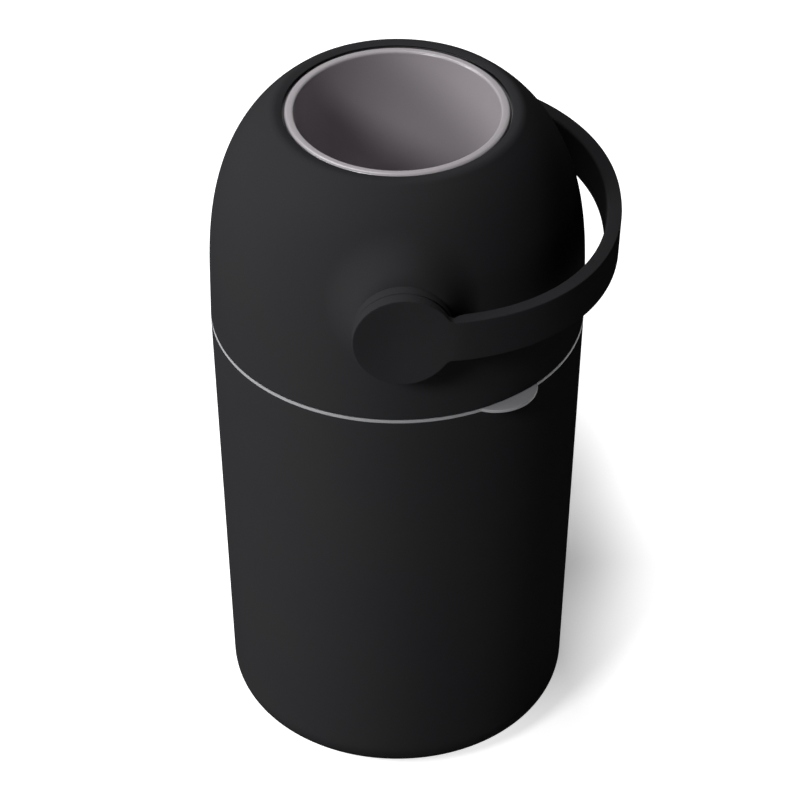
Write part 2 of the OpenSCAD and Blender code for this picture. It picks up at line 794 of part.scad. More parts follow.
// Swing handle: a bent strap that ends in a hub disc on each side
module handle() {
    color(shell_black)
        translate([0, 0, pivot_z])
            rotate([0, handle_droop, 0])
                difference() {
                    union() {
                        difference() {
                            intersection() {
                                translate([0, 0, -disc_r - overrun])
                                    linear_extrude(height = 2 * (disc_r + overrun)) handle_plan();
                                translate([0, disc_face + overrun, 0])
                                    rotate([90, 0, 0])
                                        linear_extrude(height = 2 * (disc_face + overrun)) handle_side();
                            }
                            rotate([90, 0, 0]) rod(boss_r + boss_room, -disc_back, disc_back);
                        }
                        for (rear = [0, 1])
                            mirror([0, rear, 0])
                                translate([-key_side / 2, -disc_back - overrun, -key_side / 2])
                                    cube([key_side, key_l + overrun, key_side]);
                    }
                    for (rear = [0, 1])
                        mirror([0, rear, 0])
                            rotate([90, 0, 0])
                                rod(handle_screw_r + thread_gap, key_end - overrun,
                                    axle_bore_end + handle_screw_l + pilot_extra / 3);
                }
}

// Screws that hold the handle's spigots in the axles
module handle_screws() {
    color(steel)
        at_both_hubs()
            translate([0, 0, axle_bore_end])
                screw(handle_screw_r, handle_screw_l, handle_head_r, handle_head_h);
}

tub();
foot_ring();
bag_ring();
dome_shell();
lid_floor();
lid_gasket();
upper_seal();
lower_seal();
lid_screws();
front_bush();
rear_bush();
thrust_washers();
rotor_shell();
rotor_base();
cup_liner();
cup_screws();
front_axle();
rear_axle();
axle_screws();
handle();
handle_screws();
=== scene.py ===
"""Looks of a nappy bin with a turning cup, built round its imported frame.

Lengths are in millimetres and angles in degrees, unless a name says otherwise. Meshes are written
in metres. The turning axis lies along Y, the handle rests on the +X side and the front faces -Y.
"""

from __future__ import annotations

import json
import logging
import math
import sys
from bisect import bisect_right
from collections.abc import Iterable, Sequence
from dataclasses import dataclass, field
from enum import Enum
from operator import itemgetter

import bmesh
import bpy
from bpy.types import Material, Mesh, Node, NodeSocket, NodeTree, Object
from mathutils import Matrix, Vector

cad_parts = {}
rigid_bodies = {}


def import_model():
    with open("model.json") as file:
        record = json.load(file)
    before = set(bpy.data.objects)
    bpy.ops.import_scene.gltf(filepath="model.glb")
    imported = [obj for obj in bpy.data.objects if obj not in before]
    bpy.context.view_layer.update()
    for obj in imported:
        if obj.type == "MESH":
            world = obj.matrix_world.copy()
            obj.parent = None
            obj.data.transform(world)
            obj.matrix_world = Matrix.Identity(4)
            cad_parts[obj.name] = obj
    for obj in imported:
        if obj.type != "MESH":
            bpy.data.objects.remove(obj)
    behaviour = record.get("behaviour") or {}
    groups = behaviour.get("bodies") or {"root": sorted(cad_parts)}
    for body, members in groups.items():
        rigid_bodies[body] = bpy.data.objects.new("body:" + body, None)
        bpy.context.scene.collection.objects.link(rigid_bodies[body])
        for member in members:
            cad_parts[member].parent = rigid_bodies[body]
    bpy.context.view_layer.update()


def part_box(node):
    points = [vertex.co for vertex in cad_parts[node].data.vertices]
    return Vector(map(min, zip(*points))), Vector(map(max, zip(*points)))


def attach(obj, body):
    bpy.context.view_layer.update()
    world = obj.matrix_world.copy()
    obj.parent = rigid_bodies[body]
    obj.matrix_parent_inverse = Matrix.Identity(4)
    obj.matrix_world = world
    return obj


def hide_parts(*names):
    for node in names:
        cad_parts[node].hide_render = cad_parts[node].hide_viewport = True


LOG = logging.getLogger("nappy_bin")
MM = 0.001
SEGMENTS = 192  # faces round a large turned piece
SMALL_SEGMENTS = 32  # faces round a post or a screw
SMOOTH_BELOW = 32.0  # edges that turn by less than this angle are shaded as one surface
WELD = 1e-6  # points nearer than this, in metres, are one point
HAIR = 1e-9  # lengths that differ by less than this are the same
NUMBER_A, NUMBER_B = 2, 3  # places of what a mix node blends between, for numbers
COLOUR_A, COLOUR_B, COLOUR_OUT = 6, 7, 2  # the same for colours, and the place of the blend


class Body(Enum):
    """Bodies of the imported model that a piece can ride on."""

    BASE = "base"
    RING = "ring"
    LID = "lid"
    CUP = "turning_cup"


class Slot(Enum):
    """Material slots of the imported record."""

    SHELL = "shell_plastic"
    RING = "ring_plastic"
    CUP = "cup_plastic"
    INNER = "inner_plastic"
    BEARING = "bearing_plastic"
    SEAL = "seal_rubber"
    SCREW = "screw_steel"


class Hub(Enum):
    """The two ends of the turning axis, each with the sign of its Y."""

    FRONT = -1
    REAR = 1


@dataclass(frozen=True)
class Extent:
    """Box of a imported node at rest."""

    low: Vector
    high: Vector

    @classmethod
    def of(cls, node: str) -> Extent:
        """Box of the named node, in millimetres."""
        low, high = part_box(node)
        return cls(low / MM, high / MM)

    @property
    def radius(self) -> float:
        """Radius of a round piece about the upright axis."""
        return self.high.y


@dataclass(frozen=True)
class Corner:
    """Corner of a turned piece's profile: distance from the axis, height and rounding."""

    r: float
    z: float
    rounding: float = 0.0


def linear_colour(code: str) -> tuple[float, float, float, float]:
    """Turns an sRGB colour into Blender's linear one.

    Args:
        code: Six hex digits.

    Returns:
        Red, green, blue and an alpha of 1.
    """
    shares = [int(code[i : i + 2], 16) / 255 for i in (0, 2, 4)]
    red, green, blue = (s / 12.92 if s <= 0.04045 else ((s + 0.055) / 1.055) ** 2.4 for s in shares)
    return red, green, blue, 1.0


def add_node(
    tree: NodeTree,
    kind: str,
    links: dict[str | int, object] | None = None,
    **settings: object,
) -> Node:
    """Adds one node to a tree.

    Args:
        tree: Tree that takes the node.
        kind: Blender's name for the node's type.
        links: For each input, what feeds it: a node's first output, an output socket or a value.
        settings: Properties of the node.

    Returns:
        The new node.
    """
    node = tree.nodes.new(kind)
    for name, value in settings.items():
        setattr(node, name, value)
    for name, value in (links or {}).items():
        if isinstance(value, Node):
            value = value.outputs[0]
        if isinstance(value, NodeSocket):
            tree.links.new(value, node.inputs[name])
        else:
            node.inputs[name].default_value = value
    return node


@dataclass(frozen=True)
class Finish:
    """Surface whose colour and gloss drift a little, so that no large face looks flat."""

    name: str
    colour: str
    drift_colour: str
    roughness: float
    roughness_drift: float = 0.04
    drift: float = 90.0
    drift_detail: float = 1.0

    def material(self) -> Material:
        """Builds the finish.

        Returns:
            Its material.
        """
        material = bpy.data.materials.new(self.name)
        material.use_nodes = True
        tree = material.node_tree
        place = add_node(tree, "ShaderNodeTexCoord").outputs["Object"]
        cloud = {"Vector": place, "Scale": 1 / (self.drift * MM), "Detail": self.drift_detail}
        drift = add_node(tree, "ShaderNodeTexNoise", cloud)
        main, other = linear_colour(self.colour), linear_colour(self.drift_colour)
        colours = {"Factor": drift, COLOUR_A: main, COLOUR_B: other}
        colour = add_node(tree, "ShaderNodeMix", colours, data_type="RGBA")
        low, high = self.roughness - self.roughness_drift, self.roughness + self.roughness_drift
        gloss = add_node(tree, "ShaderNodeMapRange", {"Value": drift, "To Min": low, "To Max": high})
        shader = tree.nodes["Principled BSDF"]
        tree.links.new(colour.outputs[COLOUR_OUT], shader.inputs["Base Color"])
        tree.links.new(gloss.outputs["Result"], shader.inputs["Roughness"])
        self.add_character(tree, shader, place)
        return material

    def add_character(self, tree: NodeTree, shader: Node, place: NodeSocket) -> None:
        """Adds what sets the kind of surface apart."""
        raise NotImplementedError(self.name)


@dataclass(frozen=True)
class MouldedPlastic(Finish):
    """Injection-moulded plastic with the fine grain of a spark-eroded mould.

    The grain breaks up reflections, so that the surface looks dry and even.
    """

    ior: float = 1.5
    grain: float = 0.9  # a real grain of about 0.2 mm is too fine to show, so it is drawn coarser
    grain_depth: float = 0.02
    grain_detail: float = 2.0
    grain_roughness: float = 0.6
    sheen: float = 0.0
    specular: float = 0.5

    def add_character(self, tree: NodeTree, shader: Node, place: NodeSocket) -> None:
        """Adds the mould's grain and the plastic's own shine.

        Args:
            tree: Tree of the material.
            shader: Its surface shader.
            place: Place on the object.
        """
        specks = {"Vector": place, "Scale": 1 / (self.grain * MM), "Detail": self.grain_detail}
        height = add_node(tree, "ShaderNodeTexNoise", {**specks, "Roughness": self.grain_roughness})
        relief = {"Height": height, "Distance": self.grain_depth * MM, "Strength": 1.0}
        bump = add_node(tree, "ShaderNodeBump", relief)
        tree.links.new(bump.outputs["Normal"], shader.inputs["Normal"])
        shader.inputs["IOR"].default_value = self.ior
        shader.inputs["Sheen Weight"].default_value = self.sheen
        shader.inputs["Specular IOR Level"].default_value = self.specular


@dataclass(frozen=True)
class ZincPlatedSteel(Finish):
    """Cold-headed steel with a thin bright zinc coat, slightly cloudy from the bath."""

    name: str = "zinc_plated_steel"
    colour: str = "B4B7BA"
    drift_colour: str = "9A9DA3"
    roughness: float = 0.37
    roughness_drift: float = 0.05
    drift: float = 1.6
    drift_detail: float = 3.0

    def add_character(self, tree: NodeTree, shader: Node, place: NodeSocket) -> None:
        """Makes the surface a metal."""
        shader.inputs["Metallic"].default_value = 1.0


@dataclass(frozen=True)
class Finishes:
    """Finishes of the bin, each a material that many pieces share."""

    shell: Material
    ring: Material
    cup: Material
    inner: Material
    bearing: Material
    seal: Material
    screw: Material

    @classmethod
    def mixed(cls) -> Finishes:
        """Builds every finish.

        Returns:
            The set of materials.
        """
        return cls(
            # Polypropylene with a soft-touch coat: dry, nearly without a highlight
            shell=MouldedPlastic(
                "soft_touch_polypropylene", "343434", "313135", 0.85, specular=0.0
            ).material(),
            # Plain grey polypropylene: a little smoother, with a soft highlight along edges
            ring=MouldedPlastic("grey_polypropylene", "A3A3A6", "9C9CA0", 0.5, grain_depth=0.012).material(),
            # Polished grey polypropylene of the cup: smooth to wipe clean, slightly warm
            cup=MouldedPlastic(
                "warm_grey_polypropylene", "A09A9E", "989297", 0.25, grain_depth=0.006, specular=0.9
            ).material(),
            # Dark ABS of the inner mouldings: harder and a little glossier
            inner=MouldedPlastic("dark_abs", "333335", "37373A", 0.48).material(),
            # Acetal of the bearings: waxy white with a smooth running face
            bearing=MouldedPlastic(
                "acetal", "DEDDD6", "D4D3CB", 0.34, ior=1.48, grain_depth=0.004
            ).material(),
            # Thermoplastic rubber of the seals and the foot: very dull, with a faint bloom
            seal=MouldedPlastic(
                "thermoplastic_rubber", "3A3A3D", "434346", 0.82, grain=0.6, grain_depth=0.03, sheen=0.15
            ).material(),
            screw=ZincPlatedSteel().material(),
        )


def new_object(name: str, mesh: Mesh) -> Object:
    """Puts a mesh into the scene.

    Args:
        name: Name of the object and of its mesh.
        mesh: The mesh.

    Returns:
        The object, at the origin.
    """
    mesh.name = name
    made = bpy.data.objects.new(name, mesh)
    bpy.context.scene.collection.objects.link(made)
    return made


def close_up(mesh: Mesh) -> Mesh:
    """Welds a closed skin, turns its faces outwards and sets its shading.

    Args:
        mesh: Mesh to finish.

    Returns:
        The same mesh.
    """
    work = bmesh.new()
    work.from_mesh(mesh)
    bmesh.ops.remove_doubles(work, verts=work.verts, dist=WELD)
    bmesh.ops.dissolve_degenerate(work, edges=work.edges, dist=WELD)
    bmesh.ops.recalc_face_normals(work, faces=work.faces)
    work.to_mesh(mesh)
    work.free()
    mesh.shade_smooth()
    mesh.set_sharp_from_angle(angle=math.radians(SMOOTH_BELOW))
    return mesh


class Skin:
    """Closed surface that is gathered ring by ring, in millimetres."""

    def __init__(self) -> None:
        """Starts an empty skin."""
        self.points: list[Vector] = []
        self.faces: list[tuple[int, ...]] = []

    def ring(self, points: Iterable[Vector]) -> list[int]:
        """Adds points.

        Args:
            points: Points in order.

        Returns:
            Their places in the skin.
        """
        first = len(self.points)
        self.points.extend(Vector(p) for p in points)
        return list(range(first, len(self.points)))

    def bridge(self, one: Sequence[int], other: Sequence[int], closed: bool = True) -> None:
        """Joins two rings of the same length with quads.

        Args:
            one: First ring.
            other: Second ring.
            closed: Whether the last points join the first ones.
        """
        count = len(one)
        for i in range(count if closed else count - 1):
            j = (i + 1) % count
            self.faces.append((one[i], one[j], other[j], other[i]))

    def loft(self, rings: list[list[int]], endless: bool = False) -> None:
        """Joins each ring to the next one, and also the last to the first where the row is endless."""
        for one, other in zip(rings, rings[1:] + (rings[:1] if endless else [])):
            self.bridge(one, other)

    def capped(self, name: str, rings: list[list[int]]) -> Mesh:
        """Makes the mesh of a row of rings with a flat cap on both ends.

        Args:
            name: Name of the mesh.
            rings: The rings in order.

        Returns:
            A closed mesh in metres.
        """
        self.loft(rings)
        self.faces.extend((tuple(rings[0]), tuple(rings[-1])))
        return self.mesh(name)

    def fan(self, ring: Sequence[int], tip: Vector) -> None:
        """Closes a ring with triangles to its tip."""
        (top,) = self.ring([tip])
        self.faces.extend((ring[i - 1], ring[i], top) for i in range(len(ring)))

    def mesh(self, name: str) -> Mesh:
        """Makes the mesh.

        Args:
            name: Name of the mesh.

        Returns:
            A closed mesh in metres.
        """
        made = bpy.data.meshes.new(name)
        made.from_pydata([p * MM for p in self.points], [], self.faces)
        return close_up(made)


def prism(name: str, plan: Sequence[Sequence[float]], low: float, top: float) -> Mesh:
    """Makes an upright prism over a flat outline, between two heights."""
    skin = Skin()
    return skin.capped(name, [skin.ring(Vector((*spot, z)) for spot in plan) for z in (low, top)])


def arc_points(
    centre: tuple[float, float], radius: float, start: float, end: float, steps: int
) -> list[Vector]:
    """Flat points of an arc about a centre, in equal steps from the start angle to the end angle."""
    angles = [math.radians(start + (end - start) * i / steps) for i in range(steps + 1)]
    return [Vector((centre[0] + radius * math.cos(a), centre[1] + radius * math.sin(a))) for a in angles]


def eased(share: float) -> float:
    """Smooth step from 0 to 1 over a share of the way."""
    share = min(1.0, max(0.0, share))
    return share * share * (3 - 2 * share)


class Workshop:
    """Geometry Nodes trees that the pieces share, each built once."""

    ROUNDING = "rounding"
    STEPS = "steps"
    FINENESS = 3  # steps beyond the first of a corner rounded by 1 mm; they grow with the root
    THREAD_STEPS = 24  # of a screw's thread in each turn
    THREAD_SIDES = 6
    RECESS_ARMS = 2.6  # length of a cross recess, in radii of the screw's core

    def __init__(self) -> None:
        """Builds the trees."""
        self.turned = self._turned_tree()
        self.ring_of = self._ring_tree()
        self.screw = self._screw_tree()

    @staticmethod
    def _new_tree(name: str, sizes: dict[str, str]) -> tuple[NodeTree, dict[str, NodeSocket]]:
        """Starts a tree that takes a geometry, sizes and a material, and gives a geometry.

        Args:
            name: Name of the tree.
            sizes: Name and socket type of each size.

        Returns:
            The tree and its input sockets by name.
        """
        tree = bpy.data.node_groups.new(name, "GeometryNodeTree")
        inputs = {"Geometry": "NodeSocketGeometry", **sizes, "Material": "NodeSocketMaterial"}
        for label, kind in inputs.items():
            tree.interface.new_socket(label, in_out="INPUT", socket_type=kind)
        tree.interface.new_socket("Geometry", in_out="OUTPUT", socket_type="NodeSocketGeometry")
        return tree, {s.name: s for s in add_node(tree, "NodeGroupInput").outputs if s.name}

    @staticmethod
    def _ended(tree: NodeTree, made: Node, given: dict[str, NodeSocket]) -> NodeTree:
        """Ends a tree: makes the copies real and gives them their finish.

        Args:
            tree: The tree.
            made: Node that gives what it made.
            given: Its input sockets by name.

        Returns:
            The same tree.
        """
        whole = add_node(tree, "GeometryNodeRealizeInstances", {"Geometry": made})
        dress = {"Geometry": whole, "Material": given["Material"]}
        add_node(tree, "NodeGroupOutput", {"Geometry": add_node(tree, "GeometryNodeSetMaterial", dress)})
        return tree

    def _turned_tree(self) -> NodeTree:
        """Tree that rounds a profile's corners and turns it about the upright axis.

        Returns:
            The tree.
        """
        sizes = {"Axis Distance": "NodeSocketFloat", "Segments": "NodeSocketInt"}
        tree, given = self._new_tree("turned_piece", sizes)
        outline = add_node(tree, "GeometryNodeMeshToCurve", {"Mesh": given["Geometry"]})
        attribute = "GeometryNodeInputNamedAttribute"
        rounding = add_node(tree, attribute, {"Name": self.ROUNDING}, data_type="FLOAT")
        steps = add_node(tree, attribute, {"Name": self.STEPS}, data_type="INT")
        fillet = {"Curve": outline, "Radius": rounding, "Limit Radius": True, "Count": steps}
        profile = add_node(tree, "GeometryNodeFilletCurve", fillet, mode="POLY")
        circle = {"Resolution": given["Segments"], "Radius": given["Axis Distance"]}
        path = add_node(tree, "GeometryNodeCurvePrimitiveCircle", circle)
        skin = add_node(tree, "GeometryNodeCurveToMesh", {"Curve": path, "Profile Curve": profile})
        return self._ended(tree, skin, given)

    def _ring_tree(self) -> NodeTree:
        """Tree that copies a piece in a ring about the upright axis.

        Returns:
            The tree.
        """
        sizes = {"Count": "NodeSocketInt", "Ring Radius": "NodeSocketFloat", "First Angle": "NodeSocketFloat"}
        tree, given = self._new_tree("ring_of_pieces", sizes)
        points = add_node(tree, "GeometryNodePoints", {"Count": given["Count"]})
        index = add_node(tree, "GeometryNodeInputIndex")
        step = add_node(tree, "ShaderNodeMath", {0: math.tau, 1: given["Count"]}, operation="DIVIDE")
        turns = {0: index, 1: step, 2: given["First Angle"]}
        angle = add_node(tree, "ShaderNodeMath", turns, operation="MULTIPLY_ADD")
        turn = add_node(tree, "ShaderNodeCombineXYZ", {"Z": angle})
        reach = add_node(tree, "ShaderNodeCombineXYZ", {"X": given["Ring Radius"]})
        swing = {"Vector": reach, "Angle": angle}
        place = add_node(tree, "ShaderNodeVectorRotate", swing, rotation_type="Z_AXIS")
        placed = add_node(tree, "GeometryNodeSetPosition", {"Geometry": points, "Position": place})
        copy = {"Points": placed, "Instance": given["Geometry"], "Rotation": turn}
        return self._ended(tree, add_node(tree, "GeometryNodeInstanceOnPoints", copy), given)

    def _screw_tree(self) -> NodeTree:
        """Tree that winds a thread round a turned screw and cuts a cross recess into its head.

        Returns:
            The tree.
        """
        sizes = "Core Radius", "Thread Depth", "Pitch", "Thread Length", "Head Height", "Recess Width"
        tree, given = self._new_tree("screw", dict.fromkeys(sizes, "NodeSocketFloat"))
        core, length, head = given["Core Radius"], given["Thread Length"], given["Head Height"]
        turns = add_node(tree, "ShaderNodeMath", {0: length, 1: given["Pitch"]}, operation="DIVIDE")
        wind = {"Resolution": self.THREAD_STEPS, "Rotations": turns, "Height": length}
        helix = add_node(tree, "GeometryNodeCurveSpiral", {**wind, "Start Radius": core, "End Radius": core})
        section = {"Resolution": self.THREAD_SIDES, "Radius": given["Thread Depth"]}
        ridge = add_node(tree, "GeometryNodeCurvePrimitiveCircle", section)
        sweep = {"Curve": helix, "Profile Curve": ridge, "Fill Caps": True}
        thread = add_node(tree, "GeometryNodeCurveToMesh", sweep)
        arm = add_node(tree, "ShaderNodeCombineXYZ", {"X": core, "Y": given["Recess Width"], "Z": head})
        stretch = {0: arm, 1: (self.RECESS_ARMS, 1.0, 1.0)}
        size = add_node(tree, "ShaderNodeVectorMath", stretch, operation="MULTIPLY")
        cutter = add_node(tree, "GeometryNodeMeshCube", {"Size": size})
        below = add_node(tree, "ShaderNodeMath", {0: head, 1: -1.0}, operation="MULTIPLY")
        lowered = add_node(tree, "ShaderNodeCombineXYZ", {"Z": below})
        body = {"Mesh 1": given["Geometry"]}
        cut = add_node(tree, "GeometryNodeMeshBoolean", body, operation="DIFFERENCE", solver="EXACT")
        for turn in (0.0, math.pi / 2):
            move = {"Geometry": cutter, "Translation": lowered, "Rotation": (0.0, 0.0, turn)}
            moved = add_node(tree, "GeometryNodeTransform", move)
            tree.links.new(moved.outputs[0], cut.inputs["Mesh 2"])
        both = add_node(tree, "GeometryNodeJoinGeometry", {0: cut})
        tree.links.new(thread.outputs[0], both.inputs[0])
        return self._ended(tree, both, given)

    @staticmethod
    def run(mesh: Mesh, tree: NodeTree, sizes: dict[str, object], name: str) -> Mesh:
        """Runs one tree on a mesh.

        Args:
            mesh: Mesh that goes in.
            tree: The tree.
            sizes: Values of its named inputs.
            name: Name of the mesh that comes out.

        Returns:
            A plain mesh.
        """
        carrier = new_object(name, mesh)
        modifier = carrier.modifiers.new(tree.name, "NODES")
        modifier.node_group = tree
        for socket in tree.interface.items_tree:
            if socket.name in sizes:
                modifier[socket.identifier] = sizes[socket.name]
        graph = bpy.context.evaluated_depsgraph_get()
        made = bpy.data.meshes.new_from_object(carrier.evaluated_get(graph), depsgraph=graph)
        bpy.data.objects.remove(carrier)
        bpy.data.meshes.remove(mesh)
        return made

    def turn(
        self,
        name: str,
        corners: Sequence[Corner],
        material: Material,
        closed: bool = False,
        segments: int = SEGMENTS,
    ) -> Mesh:
        """Turns a profile about the upright axis.

        Args:
            name: Name of the mesh.
            corners: Corners of the profile in order.
            material: Its finish.
            closed: Whether the last corner joins the first, as on a ring.
            segments: Faces round the axis.

        Returns:
            A closed mesh.
        """
        reach = max(c.r for c in corners)
        count = len(corners)
        profile = bpy.data.meshes.new(name)
        profile.from_pydata(
            [((c.r - reach) * MM, -c.z * MM, 0.0) for c in corners],
            [(i, (i + 1) % count) for i in range(count if closed else count - 1)],
            [],
        )
        rounding = profile.attributes.new(self.ROUNDING, "FLOAT", "POINT")
        rounding.data.foreach_set("value", [c.rounding * MM for c in corners])
        steps = profile.attributes.new(self.STEPS, "INT", "POINT")
        counts = [1 + math.ceil(self.FINENESS * math.sqrt(c.rounding)) for c in corners]
        steps.data.foreach_set("value", counts)
        sizes = {"Axis Distance": reach * MM, "Segments": segments, "Material": material}
        return close_up(self.run(profile, self.turned, sizes, name))

    def repeat(self, name: str, mesh: Mesh, count: int, radius: float, material: Material) -> Mesh:
        """Copies a mesh in a ring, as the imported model's own rings lie.

        Args:
            name: Name of the new mesh.
            mesh: Mesh of one copy, drawn at the origin with +X outwards.
            count: Number of copies.
            radius: Radius of the ring.
            material: Their finish.

        Returns:
            One mesh with all copies.
        """
        sizes = {
            "Count": count,
            "Ring Radius": radius * MM,
            "First Angle": math.pi / count,
            "Material": material,
        }
        return self.run(mesh, self.ring_of, sizes, name)


def joined(name: str, meshes: Sequence[Mesh], material: Material) -> Mesh:
    """Joins meshes into one.

    Args:
        name: Name of the new mesh.
        meshes: The meshes, which are used up.
        material: The finish of all of them.

    Returns:
        The new mesh.
    """
    work = bmesh.new()
    for mesh in meshes:
        work.from_mesh(mesh)
        bpy.data.meshes.remove(mesh)
    made = bpy.data.meshes.new(name)
    work.to_mesh(made)
    work.free()
    made.materials.clear()
    made.materials.append(material)
    for face in made.polygons:
        face.material_index = 0
    return made


def fit_piece(name: str, mesh: Mesh, body: Body, slot: Slot, *nodes: str) -> Object:
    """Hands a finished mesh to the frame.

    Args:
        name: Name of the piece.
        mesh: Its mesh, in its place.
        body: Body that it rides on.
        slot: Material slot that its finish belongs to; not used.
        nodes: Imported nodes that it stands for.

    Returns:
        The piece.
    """
    piece = new_object(name, mesh)
    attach(piece, body.value)
    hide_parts(*nodes)
    LOG.info("%s: %d faces on %s", name, len(mesh.polygons), body.value)
    return piece


@dataclass
class Assembly:
    """Pieces that are built together, with the trees and the finishes that all of them share."""

    shop: Workshop
    finishes: Finishes

    def build(self) -> None:
        """Builds the pieces and fits them into the frame."""
        raise NotImplementedError


@dataclass(frozen=True)
class ScrewPost:
    """Hollow post that a screw cuts its thread into."""

    outer_r: float = 5.0
    hole_r: float = 2.05
    edge: float = 0.5
    hole_edge: float = 0.3

    def corners(self, low: float, top: float, free: bool) -> list[Corner]:
        """Profile of the post's wall.

        Args:
            low: Its lower end.
            top: Its upper end.
            free: Whether the upper end has rounded edges too.

        Returns:
            The corners.
        """
        edge, hole_edge = (self.edge, self.hole_edge) if free else (0.0, 0.0)
        return [
            Corner(self.hole_r, low, self.hole_edge),
            Corner(self.outer_r, low, self.edge),
            Corner(self.outer_r, top, edge),
            Corner(self.hole_r, top, hole_edge),
        ]


@dataclass
class Base(Assembly):
    """Tub that holds the bag, with the anti-slip ring under it."""

    taper: float = 12.0
    base_rounding: float = 30.5
    wall: float = 2.6
    floor: float = 3.6
    edge: float = 0.5
    seat: float = 0.1
    foot_w: float = 7.0
    foot_edge: float = 0.5
    tread: float = 0.5

    def build(self) -> None:
        """Builds both pieces."""
        tub = Extent.of("tub")
        foot = Extent.of("foot_ring")
        self._tub(tub, foot)
        self._foot(foot)

    def _tub(self, tub: Extent, foot: Extent) -> None:
        """Tub with its tapered side and its groove for the anti-slip ring.

        Args:
            tub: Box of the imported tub.
            foot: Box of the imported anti-slip ring.
        """
        low, top, rim_r = tub.low.z, tub.high.z, tub.radius
        arc_z = low + self.base_rounding
        lean = math.atan(self.taper / (top - arc_z))
        flat_r = rim_r - self.taper - self.base_rounding
        corner_r = flat_r + self.base_rounding / math.tan(math.pi / 4 + lean / 2)
        groove_out, groove_in = foot.radius + self.seat, foot.radius - self.foot_w - self.seat
        groove_top = foot.high.z + self.seat
        inner_low = low + self.floor
        inner_corner_r = corner_r + self.floor * math.tan(lean) - self.wall
        corners = [
            Corner(0, low),
            Corner(groove_in, low, self.edge),
            Corner(groove_in, groove_top),
            Corner(groove_out, groove_top),
            Corner(groove_out, low, self.edge),
            Corner(corner_r, low, self.base_rounding),
            Corner(rim_r, top, self.edge),
            Corner(rim_r - self.wall, top, self.edge),
            Corner(inner_corner_r, inner_low, self.base_rounding - self.wall),
            Corner(0, inner_low),
        ]
        mesh = self.shop.turn("tub_body", corners, self.finishes.shell)
        fit_piece("tub_body", mesh, Body.BASE, Slot.SHELL, "tub")

    def _foot(self, foot: Extent) -> None:
        """Anti-slip ring with a shallow tread groove in its sole.

        Args:
            foot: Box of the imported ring.
        """
        inner, outer, top = foot.radius - self.foot_w, foot.radius, foot.high.z
        middle = (inner + outer) / 2
        corners = [
            Corner(inner, 0, self.foot_edge),
            Corner(middle - self.tread, 0),
            Corner(middle, self.tread),
            Corner(middle + self.tread, 0),
            Corner(outer, 0, self.foot_edge),
            Corner(outer, top, self.foot_edge / 2),
            Corner(inner, top, self.foot_edge / 2),
        ]
        mesh = self.shop.turn("grip_foot", corners, self.finishes.seal, closed=True)
        fit_piece("grip_foot", mesh, Body.BASE, Slot.SEAL, "foot_ring")


class Profile:
    """Flat outline of straight runs and arcs, gathered point by point."""

    def __init__(self) -> None:
        """Starts an empty outline."""
        self.points: list[Vector] = []

    def run(self, *points: tuple[float, float] | Vector) -> Profile:
        """Adds points in order and returns the profile itself."""
        self.points.extend(Vector(p) for p in points)
        return self

    def chamfer(self, corner: tuple[float, float], after: tuple[float, float], size: float) -> Profile:
        """Adds a corner after the last point, cut off at a distance from its tip on both sides."""
        tip = Vector(corner)
        return self.run(*[tip + (end - tip).normalized() * size for end in (self.points[-1], Vector(after))])

    def corner(
        self, corner: tuple[float, float], after: tuple[float, float], radius: float, steps: int
    ) -> Profile:
        """Adds a rounded corner after the last point.

        Args:
            corner: Where the two straight runs meet.
            after: A point further along the second run.
            radius: Radius of the rounding.
            steps: Steps along the arc.

        Returns:
            The profile itself.
        """
        tip = Vector(corner)
        back, ahead = (self.points[-1] - tip).normalized(), (Vector(after) - tip).normalized()
        half = back.angle(ahead) / 2
        centre = tip + (back + ahead).normalized() * radius / math.sin(half)
        first = tip + back * radius / math.tan(half) - centre
        turn = (tip + ahead * radius / math.tan(half) - centre).angle_signed(first)
        for i in range(steps + 1):
            angle = turn * i / steps
            self.points.append(centre + Matrix.Rotation(angle, 2) @ first)
        return self


